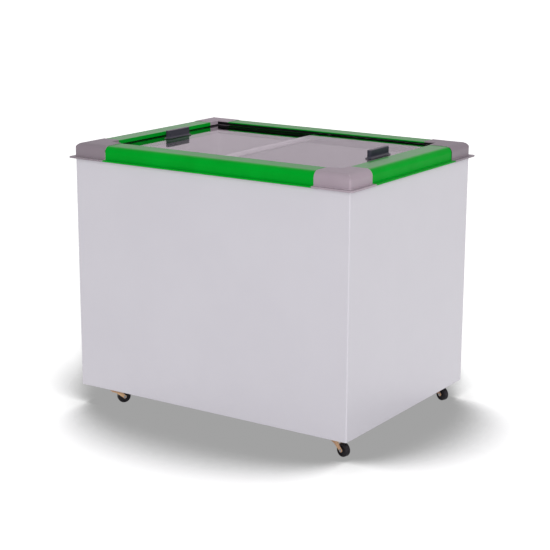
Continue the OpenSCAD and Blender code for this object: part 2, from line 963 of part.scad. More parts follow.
module compressor_shell() {
    dome_r = 40;
    weld_h = 6;
    color([0.08, 0.08, 0.09])
        translate(compressor_place + [0, 0, shell_z]) {
            rotate_extrude()
                difference() {
                    union() {
                        translate([0, dome_r])
                            square([compressor_r, compressor_h - 2 * dome_r]);
                        square([compressor_r - dome_r, compressor_h]);
                        intersection() {
                            square([compressor_r, compressor_h]);
                            union() {
                                translate([compressor_r - dome_r, dome_r])
                                    circle(dome_r);
                                translate([compressor_r - dome_r, compressor_h - dome_r])
                                    circle(dome_r);
                            }
                        }
                        // Weld seam round the middle
                        translate([compressor_r - 1, compressor_h * 0.55])
                            square([3, weld_h]);
                    }
                    translate([-compressor_r, -1])
                        square([compressor_r, compressor_h + 2]);
                }
        }
}

module compressor_feet() {
    color([0.08, 0.08, 0.09])
        translate([0, 0, bottom_z + base_t + mount_h])
            difference() {
                translate([compressor_place[0], compressor_place[1], 0])
                    linear_extrude(feet_t)
                        rounded(feet_w, feet_d, mount_r);
                compressor_bolt_places(-1)
                    cylinder(r = bolt_r + 2, h = feet_t + 2);
            }
}

module compressor_mounts() {
    color([0.12, 0.12, 0.12])
        compressor_bolt_places(bottom_z + base_t)
            difference() {
                union() {
                    cylinder(r = mount_r, h = mount_h);
                    cylinder(r = bolt_r + 2 - slide_gap, h = mount_h + feet_t);
                }
                translate([0, 0, -1])
                    cylinder(r = bolt_r + slide_gap, h = mount_h + feet_t + 2);
            }
}

module compressor_bolts() {
    head_h = 3;
    color("silver")
        compressor_bolt_places(bottom_z) {
            translate([0, 0, -head_h])
                hexagon(2 * bolt_r + 4, head_h);
            translate([0, 0, -eps])
                cylinder(r = bolt_r - eps, h = base_t + mount_h + feet_t + 4);
            translate([0, 0, base_t + mount_h + feet_t + slide_gap])
                hexagon(2 * bolt_r + 5, head_h);
        }
}

module start_relay_box() {
    box = [48, 34, 62];
    color([0.15, 0.15, 0.16])
        translate(compressor_place + [-box[0] / 2, -compressor_r - box[1] + 8, shell_z + 34])
            difference() {
                cube(box);
                // Saddle against the round shell
                translate([box[0] / 2, box[1] - 8 + compressor_r, -1])
                    cylinder(r = compressor_r + 2 + slide_gap, h = box[2] + 2);
            }
}

dryer_r = 11;
dryer_len = 96;
tube_r = 4;
dryer_place = compressor_place + [70, -150, 70];

module filter_dryer() {
    neck_len = 14;
    color([0.72, 0.45, 0.32])
        translate(dryer_place) {
            cylinder(r = dryer_r, h = dryer_len);
            translate([0, 0, -neck_len])
                cylinder(r1 = tube_r, r2 = dryer_r, h = neck_len + eps);
            translate([0, 0, dryer_len - eps])
                cylinder(r1 = dryer_r, r2 = tube_r, h = neck_len);
        }
}

// Bends of the two tubes, from the compressor's shell to the compartment's wall
tube_end_x = left_x + bay_w + 12;
suction_z = bottom_z + base_t + shell_z + 108;
suction_points = [
    compressor_place + [compressor_r - 6, 0, shell_z + 60],
    compressor_place + [compressor_r + 14, 0, shell_z + 60],
    [compressor_place[0] + compressor_r + 14, compressor_place[1], suction_z],
    [tube_end_x, compressor_place[1], suction_z]
];
discharge_points = [
    compressor_place + [0, compressor_r - 6, shell_z + 70],
    compressor_place + [0, compressor_r + 30, shell_z + 70],
    [compressor_place[0], compressor_place[1] + compressor_r + 30, suction_z + 20],
    [tube_end_x, compressor_place[1] + compressor_r + 30, suction_z + 20]
];
dryer_points = [
    dryer_place + [0, 0, dryer_len + 13],
    dryer_place + [0, 0, dryer_len + 24],
    [tube_end_x, dryer_place[1], dryer_place[2] + dryer_len + 24]
];

module outside_shell() {
    difference() {
        children();
        translate(compressor_place + [0, 0, shell_z + 20])
            cylinder(r = compressor_r + slide_gap / 3, h = 80);
    }
}

module suction_tube() {
    color([0.72, 0.45, 0.32])
        outside_shell()
            tube_run(suction_points, tube_r);
}

module discharge_tube() {
    color([0.72, 0.45, 0.32]) {
        outside_shell()
            tube_run(discharge_points, tube_r * 0.75);
        difference() {
            tube_run(dryer_points, tube_r * 0.75);
            translate([0, 0, -slide_gap])
                dryer_top();
        }
    }
}

module dryer_top() {
    translate(dryer_place + [0, 0, dryer_len - 2])
        cylinder(r = dryer_r, h = 2 + 14 + slide_gap * 2);
}

module tube_holes() {
    for (p = [suction_points[3], discharge_points[3], dryer_points[2]])
        translate([left_x + bay_w - 5, p[1], p[2]])
            rotate([0, 90, 0])
                cylinder(r = tube_r + slide_gap, h = 5 + 12 + slide_gap);
}

// ---------- side grille and thermostat ----------

grille_rim = 9;
grille_y = rear_y - grille_inset - grille_w;
knob_y = grille_y + (grille_w - louvre_w) / 2 - grille_rim / 2;
knob_z = bottom_z + grille_z + grille_h / 2;

module grille_screw_places() {
    for (i = [0, 1], j = [0, 1])
        translate([left_x, grille_y + grille_rim / 2 + i * (grille_w - grille_rim),
                   bottom_z + grille_z + grille_rim / 2 + j * (grille_h - grille_rim)])
            children();
}

module side_grille() {
    field_y = grille_y + grille_w - louvre_w - 1.5 * grille_rim;
    pitch = (grille_h - 4 * grille_rim) / (louvre_count - 1);
    body_t = grille_t + 6;
    color([0.12, 0.12, 0.13])
        difference() {
            union() {
                translate([left_x - grille_t, grille_y, bottom_z + grille_z])
                    cube([grille_t, grille_w, grille_h]);
                translate([left_x - eps, grille_y + grille_rim + slide_gap,
                           bottom_z + grille_z + grille_rim + slide_gap])
                    cube([6, grille_w - 2 * grille_rim - 2 * slide_gap,
                          grille_h - 2 * grille_rim - 2 * slide_gap]);
            }
            // Pocket behind the thermostat's field
            translate([left_x, grille_y + grille_rim + 3, bottom_z + grille_z + grille_rim + 3])
                cube([8, field_y - grille_y - grille_rim - 6, grille_h - 2 * grille_rim - 6]);
            for (i = [0 : louvre_count - 1])
                translate([left_x + 2, field_y, bottom_z + grille_z + 2 * grille_rim + i * pitch])
                    rotate([0, 35, 0])
                        translate([-body_t * 1.5, 0, -louvre_gap / 2])
                            cube([body_t * 3, louvre_w, louvre_gap]);
            grille_screw_places()
                rotate([0, -90, 0])
                    cylinder(r = screw_r, h = 8, center = true);
            translate([left_x, knob_y, knob_z])
                rotate([0, 90, 0])
                    cylinder(r = knob_shaft_r + run_gap, h = 20, center = true);
        }
}

module grille_screws() {
    color("silver")
        grille_screw_places()
            translate([-grille_t, 0, 0])
                rotate([0, -90, 0])
                    screw(screw_r, screw_len - 2, screw_head_r, screw_head_h);
}

thermostat_box = [30, 38, 44];

module thermostat_body() {
    color([0.85, 0.85, 0.82])
        difference() {
            translate([left_x, knob_y - thermostat_box[1] / 2, knob_z - thermostat_box[2] / 2])
                cube(thermostat_box);
            translate([left_x - 1, knob_y, knob_z])
                rotate([0, 90, 0])
                    cylinder(r = knob_shaft_r + run_gap, h = 16);
        }
}

module thermostat_knob() {
    grip_w = 5;
    grip_h = 8;
    base_h = knob_h - grip_h;
    color([0.12, 0.12, 0.13])
        translate([left_x - grille_t - slide_gap, knob_y, knob_z])
            rotate([0, -90, 0]) {
                rotate_extrude() {
                    square([knob_r, base_h - 1]);
                    square([knob_r - 1, base_h]);
                }
                translate([-knob_r + 2, -grip_w / 2, base_h - eps])
                    cube([2 * knob_r - 4, grip_w, grip_h]);
                translate([0, 0, -grille_t - slide_gap - 14])
                    cylinder(r = knob_shaft_r, h = grille_t + slide_gap + 14 + eps);
            }
}

module cable_inlet() {
    bore_r = inlet_r - 4;
    color([0.08, 0.08, 0.08])
        translate([left_x + inlet_inset, rear_y - sheet_t, bottom_z + inlet_z])
            rotate([-90, 0, 0])
                rotate_extrude()
                    difference() {
                        union() {
                            translate([bore_r, -4])
                                square([inlet_r - slide_gap - bore_r, 9]);
                            translate([bore_r, -4])
                                square([inlet_r + 3 - bore_r, 4 - slide_gap]);
                            translate([bore_r, sheet_t + slide_gap])
                                square([inlet_r + 3 - bore_r, 3]);
                        }
                    }
}

// ---------- drain ----------

drain_drop = 12;
drain_sink = 5;
sink_r = drain_r + 7;

module drain_place() {
    translate([step_x + 60, front_y + drain_inset, 0])
        children();
}

module drain_tube() {
    outer_r = drain_r - slide_gap;
    flange_r = drain_r + 6;
    color([0.85, 0.85, 0.85])
        drain_place()
            difference() {
                union() {
                    translate([0, 0, bottom_z - drain_drop])
                        cylinder(r = outer_r, h = tub_floor_h + drain_drop - drain_sink);
                    translate([0, 0, tub_floor_z - drain_sink])
                        cylinder(r = flange_r, h = 1.5);
                }
                translate([0, 0, bottom_z - drain_drop - 1])
                    cylinder(r = outer_r - drain_wall, h = tub_floor_h + drain_drop + 4);
            }
}

module drain_plug() {
    inner_r = drain_r - slide_gap - drain_wall;
    color([0.15, 0.15, 0.15])
        drain_place()
            translate([0, 0, tub_floor_z - drain_sink + 1.5]) {
                cylinder(r = inner_r + 4, h = 3);
                translate([0, 0, -14])
                    cylinder(r1 = inner_r - 2, r2 = inner_r - slide_gap, h = 14 + eps);
                translate([0, 0, 3 - eps])
                    cylinder(r = 4, h = 8);
            }
}

module drain_cap() {
    outer_r = drain_r - slide_gap;
    color([0.15, 0.15, 0.15])
        drain_place()
            translate([0, 0, bottom_z - drain_drop - 2 - slide_gap])
                difference() {
                    cylinder(r = outer_r + 2, h = 10);
                    translate([0, 0, 2])
                        cylinder(r = outer_r + slide_gap / 3, h = 10);
                }
}

// ---------- casters ----------

race_h = 4.5;
race_z = caster_h - plate_t - race_h;
fork_top_z = race_z - slide_gap - 3;
rim_z = 2 * wheel_r + 1;
leg_end_r = 5.5;
hub_r = 7;

module front_left_place() {
    translate([left_x + caster_inset_left, front_y + caster_inset_front, 0])
        children();
}

module front_right_place() {
    translate([right_x - caster_inset_right, front_y + caster_inset_front, 0])
        children();
}

module rear_left_place() {
    translate([left_x + caster_inset_left, rear_y - caster_inset_rear, 0])
        children();
}

module rear_right_place() {
    translate([right_x - caster_inset_right, rear_y - caster_inset_rear, 0])
        children();
}

module caster_places() {
    front_left_place()
        children();
    front_right_place()
        children();
    rear_left_place()
        children();
    rear_right_place()
        children();
}

module plate_bolt_places() {
    for (i = [-1, 1], j = [-1, 1])
        translate([i * plate_pitch / 2, j * plate_pitch / 2, 0])
            children();
}

// Mounting plate with its half of the ball race and the kingpin
module caster_plate() {
    color(zinc_yellow)
        difference() {
            union() {
                translate([0, 0, caster_h - plate_t])
                    linear_extrude(plate_t)
                        rounded(plate_side, plate_side, 6);
                translate([0, 0, race_z])
                    cylinder(r = race_r, h = race_h + eps);
                translate([0, 0, fork_top_z - fork_t - 3])
                    cylinder(r = kingpin_r, h = race_z - fork_top_z + fork_t + 4);
                translate([0, 0, fork_top_z - fork_t - slide_gap - 2])
                    cylinder(r = kingpin_r + 3, h = 2);
            }
            plate_bolt_places()
                translate([0, 0, caster_h - plate_t - 1])
                    cylinder(r = bolt_r + slide_gap, h = plate_t + 2);
        }
}

// Side view of a fork leg, with the swivel axis at X = 0
module fork_leg_outline() {
    difference() {
        union() {
            polygon([
                [2 - race_r, fork_top_z],
                [2 - race_r, rim_z - 1],
                [-leg_end_r / 2, rim_z - leg_end_r],
                [caster_trail - leg_end_r * 0.9, wheel_r - leg_end_r * 0.4],
                [caster_trail + leg_end_r, wheel_r],
                [race_r - 3, rim_z],
                [race_r - 3, fork_top_z]
            ]);
            translate([caster_trail, wheel_r])
                circle(leg_end_r);
        }
        translate([caster_trail, wheel_r])
            circle(axle_r + run_gap);
    }
}

module fork_leg() {
    rotate([90, 0, 0])
        linear_extrude(fork_t)
            fork_leg_outline();
}

// Crown with its rim
module fork_crown() {
    difference() {
        translate([0, 0, rim_z])
            cylinder(r = race_r, h = fork_top_z - rim_z);
        translate([0, 0, rim_z - 1])
            cylinder(r = race_r - fork_t, h = fork_top_z - fork_t - rim_z + 1);
    }
}

module caster_fork(angle) {
    color(zinc_yellow)
        rotate([0, 0, angle])
            difference() {
                union() {
                    fork_crown();
                    // Lower half of the ball race
                    translate([0, 0, fork_top_z - eps])
                        cylinder(r = race_r - 1, h = race_z - slide_gap - fork_top_z + eps);
                    for (side = [-1, 1])
                        translate([0, side * (fork_gap + fork_t) / 2 + fork_t / 2, 0])
                            fork_leg();
                }
                translate([0, 0, fork_top_z - fork_t - 1])
                    cylinder(r = kingpin_r + run_gap, h = race_h + fork_t + 6);
            }
}

module caster_axle(angle) {
    head_h = 1.5;
    length = fork_gap + 2 * fork_t + slide_gap;
    color("silver")
        rotate([0, 0, angle])
            translate([caster_trail, 0, wheel_r])
                rotate([90, 0, 0]) {
                    cylinder(r = axle_r, h = length + 2 * head_h, center = true);
                    for (side = [-1, 1])
                        translate([0, 0, side * (length + head_h) / 2])
                            cylinder(r = axle_r + 1.5, h = head_h, center = true);
                }
}

module caster_wheel(angle) {
    tread_r = 4;
    hub_w = fork_gap - 2 * slide_gap;
    dish = 2.5;
    color(wheel_black)
        rotate([0, 0, angle])
            translate([caster_trail, 0, wheel_r])
                rotate([90, 0, 0])
                    rotate_extrude()
                        difference() {
                            union() {
                                translate([0, -wheel_w / 2])
                                    square([wheel_r - tread_r, wheel_w]);
                                translate([wheel_r - tread_r - eps, -wheel_w / 2 + tread_r])
                                    square([tread_r + eps, wheel_w - 2 * tread_r]);
                                for (side = [-1, 1])
                                    translate([wheel_r - tread_r, side * (wheel_w / 2 - tread_r)])
                                        circle(tread_r);
                                translate([0, -hub_w / 2])
                                    square([hub_r - 1, hub_w]);
                            }
                            translate([-wheel_r, -wheel_w])
                                square([wheel_r + axle_r + run_gap, 2 * wheel_w]);
                            // Dished faces
                            for (side = [-1, 1])
                                translate([hub_r, side > 0 ? wheel_w / 2 - dish : -wheel_w / 2 - dish])
                                    square([wheel_r - tread_r - hub_r - 1.5, 2 * dish]);
                        }
}

module caster_bolts() {
    head_h = 2.5;
    color("silver")
        caster_places()
            plate_bolt_places() {
                translate([0, 0, caster_h - plate_t - head_h])
                    hexagon(2 * bolt_r + 3.5, head_h);
                translate([0, 0, caster_h - plate_t - eps])
                    cylinder(r = bolt_r - eps, h = plate_t + base_t + 4);
                translate([0, 0, caster_h + base_t])
                    hexagon(2 * bolt_r + 4, head_h);
            }
}

module front_left_plate() { front_left_place() caster_plate(); }
module front_right_plate() { front_right_place() caster_plate(); }
module rear_left_plate() { rear_left_place() caster_plate(); }
module rear_right_plate() { rear_right_place() caster_plate(); }
module front_left_fork() { front_left_place() caster_fork(front_left_angle); }
module front_right_fork() { front_right_place() caster_fork(front_right_angle); }
module rear_left_fork() { rear_left_place() caster_fork(rear_left_angle); }
module rear_right_fork() { rear_right_place() caster_fork(rear_right_angle); }
module front_left_axle() { front_left_place() caster_axle(front_left_angle); }
module front_right_axle() { front_right_place() caster_axle(front_right_angle); }
module rear_left_axle() { rear_left_place() caster_axle(rear_left_angle); }
module rear_right_axle() { rear_right_place() caster_axle(rear_right_angle); }
module front_left_wheel() { front_left_place() caster_wheel(front_left_angle); }
module front_right_wheel() { front_right_place() caster_wheel(front_right_angle); }
module rear_left_wheel() { rear_left_place() caster_wheel(rear_left_angle); }
module rear_right_wheel() { rear_right_place() caster_wheel(rear_right_angle); }

cabinet_wrapper();
rear_panel();
base_pan();
compressor_bay();
insulation_foam();
inner_tub();
evaporator_coil();
condenser_coil();
front_rail();
rear_rail();
left_rail();
right_rail();
front_left_corner();
front_right_corner();
rear_left_corner();
rear_right_corner();
upper_track_seals();
lower_track_seals();
left_glass();
left_handle();
left_handle_pad();
right_glass();
right_handle();
right_handle_pad();
compressor_shell();
compressor_feet();
compressor_mounts();
compressor_bolts();
start_relay_box();
filter_dryer();
suction_tube();
discharge_tube();
side_grille();
grille_screws();
thermostat_body();
thermostat_knob();
cable_inlet();
drain_tube();
drain_plug();
drain_cap();
rear_panel_screws();
caster_bolts();
front_left_plate();
front_left_fork();
front_left_axle();
front_left_wheel();
front_right_plate();
front_right_fork();
front_right_axle();
front_right_wheel();
rear_left_plate();
rear_left_fork();
rear_left_axle();
rear_left_wheel();
rear_right_plate();
rear_right_fork();
rear_right_axle();
rear_right_wheel();
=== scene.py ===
"""Finishes, small fittings, studio and camera for a chest freezer with two sliding glass lids."""

import logging
import math
from collections.abc import Callable, Sequence
from dataclasses import dataclass, replace
from enum import Enum

import bmesh
import bpy
from mathutils import Matrix, Vector


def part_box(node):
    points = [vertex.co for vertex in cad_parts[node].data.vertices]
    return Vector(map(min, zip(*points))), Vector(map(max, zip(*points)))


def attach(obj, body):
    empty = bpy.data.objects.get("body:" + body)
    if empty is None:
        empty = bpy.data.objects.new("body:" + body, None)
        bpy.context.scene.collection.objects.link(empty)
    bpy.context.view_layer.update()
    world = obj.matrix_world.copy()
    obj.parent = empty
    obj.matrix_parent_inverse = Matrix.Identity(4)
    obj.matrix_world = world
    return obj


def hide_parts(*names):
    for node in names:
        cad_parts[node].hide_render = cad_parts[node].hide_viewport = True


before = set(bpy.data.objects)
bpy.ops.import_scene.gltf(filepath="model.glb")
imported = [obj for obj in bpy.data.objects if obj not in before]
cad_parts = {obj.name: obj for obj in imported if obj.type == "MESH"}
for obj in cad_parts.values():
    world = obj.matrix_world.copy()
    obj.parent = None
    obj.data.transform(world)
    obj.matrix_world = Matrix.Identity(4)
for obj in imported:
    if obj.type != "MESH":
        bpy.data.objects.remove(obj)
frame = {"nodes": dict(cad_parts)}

logging.basicConfig(level=logging.INFO, format="%(message)s")
log = logging.getLogger("freezer")

Colour = tuple[float, float, float]
Triple = tuple[float, float, float]
Link = bpy.types.NodeSocket
Sockets = bpy.types.bpy_prop_collection
Tree = bpy.types.NodeTree
Piece = bpy.types.Object
Work = bmesh.types.BMesh

TURN = 2.0 * math.pi
CORNERS = ("front_left", "front_right", "rear_left", "rear_right")

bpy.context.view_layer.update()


class Direction(Enum):
    """Way in which the fine lines of a drawn, extruded or brushed surface run."""

    ALONG_X = (2.0, 420.0, 420.0)
    ALONG_Y = (420.0, 2.0, 420.0)
    ALONG_Z = (420.0, 420.0, 2.0)
    NONE = (60.0, 60.0, 60.0)


class Ray(Enum):
    """Kinds of ray that the backdrop tells apart."""

    CAMERA = "Is Camera Ray"
    TRANSMISSION = "Is Transmission Ray"
    GLOSSY = "Is Glossy Ray"
    DIFFUSE = "Is Diffuse Ray"
    SHADOW = "Is Shadow Ray"


# ---------- node trees ----------


class Graph:
    """Adds and joins the nodes of one node tree."""

    def __init__(self, tree: Tree) -> None:
        """Keeps the tree of a material, world, lamp or group, and empties it."""
        self.tree = tree
        tree.nodes.clear()

    def add(self, kind: str, inputs: dict | None = None, **settings: object) -> bpy.types.Node:
        """Adds one node.

        Args:
            kind: The node's type name.
            inputs: Values or output sockets for the node's inputs, by name or number.
            **settings: Properties of the node, which are set first.

        Returns:
            The new node.
        """
        node = self.tree.nodes.new(kind)
        for name, value in settings.items():
            setattr(node, name, value)
        for name, value in (inputs or {}).items():
            if isinstance(value, Link):
                self.join(value, node.inputs[name])
            else:
                node.inputs[name].default_value = value
        return node

    def join(self, source: Link, target: Link) -> None:
        """Joins an output to an input."""
        self.tree.links.new(source, target)

    def math(self, operation: str, first: Link | float, second: Link | float = 0.0, clamp: bool = False) -> Link:
        """Adds a Math node and returns its result, which clamp keeps between 0 and 1."""
        return self.add("ShaderNodeMath", {0: first, 1: second}, operation=operation, use_clamp=clamp).outputs[0]

    def product(self, first: Link | float, *others: Link | float) -> Link:
        """Multiplies numbers.

        Args:
            first: First number or socket.
            *others: The other ones.

        Returns:
            The product's socket.
        """
        for other in others:
            first = self.math("MULTIPLY", first, other)
        return first

    def vector(self, operation: str, first: Link, second: Link | Triple) -> Sockets:
        """Adds a Vector Math node and returns its outputs."""
        return self.add("ShaderNodeVectorMath", {0: first, 1: second}, operation=operation).outputs

    def remap(self, value: Link, low: float, high: float, to_low: float = 0.0, to_high: float = 1.0) -> Link:
        """Maps the span from low to high smoothly onto the one from to_low to to_high."""
        spans = {"Value": value, "From Min": low, "From Max": high, "To Min": to_low, "To Max": to_high}
        return self.add("ShaderNodeMapRange", spans, interpolation_type="SMOOTHSTEP").outputs["Result"]

    def blend(self, share: Link | float, first: Link | Colour, second: Link | Colour) -> Link:
        """Mixes two colours by the share of the second."""
        pair = [value if isinstance(value, Link) else (*value, 1.0) for value in (first, second)]
        return self.add("ShaderNodeMix", {0: share, 6: pair[0], 7: pair[1]}, data_type="RGBA").outputs[2]

    def noise(self, scale: float | Link, vector: Link, detail: float = 3.0, roughness: float = 0.55) -> Link:
        """Adds noise of so many waves per metre and returns its value, about 0.5 on average."""
        values = {"Vector": vector, "Scale": scale, "Detail": detail, "Roughness": roughness}
        return self.add("ShaderNodeTexNoise", values).outputs["Fac"]

    def cells(self, scale: float) -> Sockets:
        """Adds cells, so many to the metre, and returns their outputs."""
        return self.add("ShaderNodeTexVoronoi", {"Vector": self.place(), "Scale": scale}).outputs

    def place(self) -> Link:
        """Returns the surface's own coordinates in metres."""
        return self.add("ShaderNodeTexCoord").outputs["Object"]

    def normal(self) -> Link:
        """Returns the surface's normal."""
        return self.add("ShaderNodeNewGeometry").outputs["Normal"]

    def split(self, vector: Link) -> Sockets:
        """Returns a vector's X, Y and Z."""
        return self.add("ShaderNodeSeparateXYZ", {0: vector}).outputs

    def group(self, tree: Tree, values: dict) -> Sockets:
        """Adds a node group with its own values and returns its outputs."""
        return self.add("ShaderNodeGroup", values, node_tree=tree).outputs

    def shader(self, kind: str, inputs: dict) -> Link:
        """Adds a shader of one kind and returns its result."""
        return self.add(kind, inputs).outputs[0]

    def mix(self, share: Link, first: Link, second: Link) -> Link:
        """Mixes two shaders by the share of the second."""
        return self.shader("ShaderNodeMixShader", {0: share, 1: first, 2: second})


class Effects:
    """The shared surface effects, each a shader node group that is built once."""

    def __init__(self) -> None:
        """Builds all groups."""
        self.rounded = self._rounded_edges()
        self.grain = self._grain()
        self.lines = self._drawn_lines()
        self.wear_and_highlight = self._edge_wear_and_highlight()
        self.dust = self._settled_dust()
        self.handling = self._handling_marks()

    @staticmethod
    def _start(name: str, inputs: dict[str, float | Triple], *results: str) -> tuple[Graph, Sockets, Sockets]:
        """Starts a node group.

        Args:
            name: The group's name.
            inputs: Default value of each input, by name; a vector has a tuple.
            *results: Names of the outputs, of which only Normal is a vector.

        Returns:
            The graph, the inputs to read and the results to fill.
        """
        tree = bpy.data.node_groups.new(name, "ShaderNodeTree")
        for label, value in inputs.items():
            kind = "NodeSocketVector" if isinstance(value, tuple) else "NodeSocketFloat"
            tree.interface.new_socket(name=label, in_out="INPUT", socket_type=kind).default_value = value
        for label in results:
            kind = "NodeSocketVector" if label == "Normal" else "NodeSocketFloat"
            tree.interface.new_socket(name=label, in_out="OUTPUT", socket_type=kind)
        graph = Graph(tree)
        return graph, graph.add("NodeGroupInput").outputs, graph.add("NodeGroupOutput").inputs

    def _rounded_edges(self) -> Tree:
        """Builds the group that softens hard edges to a small radius.

        Returns:
            The group's tree.
        """
        graph, given, result = self._start("rounded_edges", {"Radius": 0.0006}, "Normal")
        bevel = graph.add("ShaderNodeBevel", {"Radius": given["Radius"]}, samples=6)
        graph.join(bevel.outputs["Normal"], result["Normal"])
        return graph.tree

    def _grain(self) -> Tree:
        """Builds the group for the fine grain of moulded, coated or cast surfaces.

        Returns:
            The group's tree.
        """
        graph, given, result = self._start("fine_grain", {"Scale": 900.0, "Mottle Scale": 9.0}, "Height", "Mottle")
        place = graph.place()
        graph.join(graph.noise(given["Scale"], place, 2.0, 0.6), result["Height"])
        mottle = graph.noise(given["Mottle Scale"], place, 4.0, 0.6)
        graph.join(graph.remap(mottle, 0.3, 0.7), result["Mottle"])
        return graph.tree

    def _drawn_lines(self) -> Tree:
        """Builds the group for fine lines that run one way.

        Returns:
            The group's tree.
        """
        graph, given, result = self._start("drawn_lines", {"Stretch": Direction.NONE.value}, "Lines")
        stretched = graph.vector("MULTIPLY", graph.place(), given["Stretch"])[0]
        fine = graph.noise(1.0, stretched, 3.0, 0.65)
        broad = graph.noise(0.22, stretched, 2.0, 0.5)
        lines = graph.math("ADD", graph.product(fine, 0.6), graph.product(broad, 0.4))
        graph.join(graph.remap(lines, 0.35, 0.65), result["Lines"])
        return graph.tree

    def _edge_wear_and_highlight(self) -> Tree:
        """Builds the group that finds edges and breaks them up as rubbing does; it makes real edge wear, and on the
        corner plastic painted highlights.

        Returns:
            The group's tree.
        """
        graph, given, result = self._start("edge_wear_and_highlight", {"Radius": 0.001, "Patchiness": 70.0}, "Mask")
        bevel = graph.add("ShaderNodeBevel", {"Radius": given["Radius"]}, samples=4)
        turned = graph.vector("DOT_PRODUCT", bevel.outputs["Normal"], graph.normal())["Value"]
        edge = graph.remap(turned, 0.995, 0.93)
        patches = graph.remap(graph.noise(given["Patchiness"], graph.place(), 4.0, 0.7), 0.38, 0.62)
        graph.join(graph.math("MULTIPLY", edge, patches, True), result["Mask"])
        return graph.tree

    def _settled_dust(self) -> Tree:
        """Builds the group for dust that settles on faces that look up.

        Returns:
            The group's tree.
        """
        graph, given, result = self._start("settled_dust", {"Amount": 0.2}, "Mask")
        level = graph.remap(graph.split(graph.normal())["Z"], 0.2, 0.95, 0.15, 1.0)
        patches = graph.remap(graph.noise(38.0, graph.place(), 5.0, 0.65), 0.35, 0.7)
        graph.join(graph.math("MULTIPLY", graph.product(level, patches), given["Amount"], True), result["Mask"])
        return graph.tree

    def _handling_marks(self) -> Tree:
        """Builds the group for faint wipes and smears on smooth surfaces.

        Returns:
            The group's tree.
        """
        graph, given, result = self._start("handling_marks", {"Scale": 6.0}, "Marks")
        place = graph.place()
        bent = graph.vector("MULTIPLY", place, (1.0, 3.2, 2.1))[0]
        smear = graph.remap(graph.noise(given["Scale"], bent, 5.0, 0.6), 0.45, 0.75)
        spots = graph.remap(graph.noise(55.0, place, 2.0, 0.5), 0.55, 0.8)
        graph.join(graph.math("MULTIPLY", smear, graph.math("ADD", spots, 0.35), True), result["Marks"])
        return graph.tree


class Surface(Graph):
    """The graph of one new material."""

    def __init__(self, name: str, effects: Effects | None = None) -> None:
        """Makes the material.

        Args:
            name: The material's name.
            effects: The shared effects, or None for one that uses none.
        """
        self.material = bpy.data.materials.new(name)
        self.material.use_nodes = True
        self.effects = effects
        super().__init__(self.material.node_tree)

    def close(self, surface: Link) -> bpy.types.Material:
        """Gives the material its surface and returns it."""
        self.add("ShaderNodeOutputMaterial", {"Surface": surface})
        return self.material


# ---------- finishes ----------


@dataclass(frozen=True)
class Finish:
    """An opaque surface finish with grain, lines, edge marks and dust; the edge marks are wear on most finishes and
    a painted highlight on the corner plastic.
    """

    name: str
    colour: Colour
    shade: Colour
    roughness: float
    swing: float = 0.06
    mark_scale: float = 6.0
    metallic: float = 0.0
    coat: float = 0.0
    coat_roughness: float = 0.08
    specular: float = 0.5
    mottle_scale: float = 9.0
    grain_scale: float = 900.0
    grain_height: float = 0.00002
    lines: Direction = Direction.NONE
    line_share: float = 0.0
    line_height: float = 0.0
    edge_radius: float = 0.0006
    wear_and_highlight_colour: Colour = (0.5, 0.5, 0.5)
    wear_and_highlight: float = 0.0
    dust: float = 0.0
    dust_colour: Colour = (0.42, 0.40, 0.37)

    def paint(self, graph: Surface) -> Link:
        """Makes the base colour.

        Args:
            graph: The material's graph.

        Returns:
            The colour's socket.
        """
        grain = graph.group(graph.effects.grain, {"Scale": self.grain_scale, "Mottle Scale": self.mottle_scale})
        colour = graph.blend(grain["Mottle"], self.colour, self.shade)
        if self.line_share:
            lines = graph.group(graph.effects.lines, {"Stretch": self.lines.value})["Lines"]
            colour = graph.blend(graph.product(lines, self.line_share), colour, self.shade)
        # Edge colour: real wear on most finishes, a painted highlight on the corner plastic.
        if self.wear_and_highlight:
            edge_mark = graph.group(graph.effects.wear_and_highlight, {"Radius": self.edge_radius * 2.0})["Mask"]
            colour = graph.blend(graph.product(edge_mark, self.wear_and_highlight), colour, self.wear_and_highlight_colour)
        if self.dust:
            dust = graph.group(graph.effects.dust, {"Amount": self.dust})["Mask"]
            colour = graph.blend(dust, colour, self.dust_colour)
        return colour

    def relief(self, graph: Surface) -> Link:
        """Makes the height of the fine relief, in metres.

        Args:
            graph: The material's graph.

        Returns:
            The height's socket.
        """
        grain = graph.group(graph.effects.grain, {"Scale": self.grain_scale, "Mottle Scale": self.mottle_scale})
        height = graph.product(grain["Height"], self.grain_height)
        if self.line_height:
            lines = graph.group(graph.effects.lines, {"Stretch": self.lines.value})["Lines"]
            height = graph.math("ADD", height, graph.product(lines, self.line_height))
        return height

    def gloss(self, graph: Surface) -> Link:
        """Makes the roughness, which varies with wipes and smears."""
        marks = graph.group(graph.effects.handling, {"Scale": self.mark_scale})["Marks"]
        return graph.remap(marks, 0.0, 1.0, self.roughness, self.roughness + self.swing)

    def varnish(self, graph: Surface) -> Link | float:
        """Returns the weight of the clear coat, here the same all over."""
        return self.coat

    def build(self, effects: Effects) -> bpy.types.Material:
        """Builds the material.

        Args:
            effects: The shared effects.

        Returns:
            The new material.
        """
        graph = Surface(self.name, effects)
        soft = graph.group(effects.rounded, {"Radius": self.edge_radius})["Normal"]
        bump = graph.add("ShaderNodeBump", {"Height": self.relief(graph), "Normal": soft, "Distance": 1.0})
        shader = graph.shader("ShaderNodeBsdfPrincipled", {
            "Base Color": self.paint(graph),
            "Roughness": self.gloss(graph),
            "Metallic": self.metallic,
            "Coat Weight": self.varnish(graph),
            "Coat Roughness": self.coat_roughness,
            "Specular IOR Level": self.specular,
            "Normal": bump.outputs["Normal"],
        })
        graph.material.diffuse_color = (*self.colour, 1.0)
        return graph.close(shader)


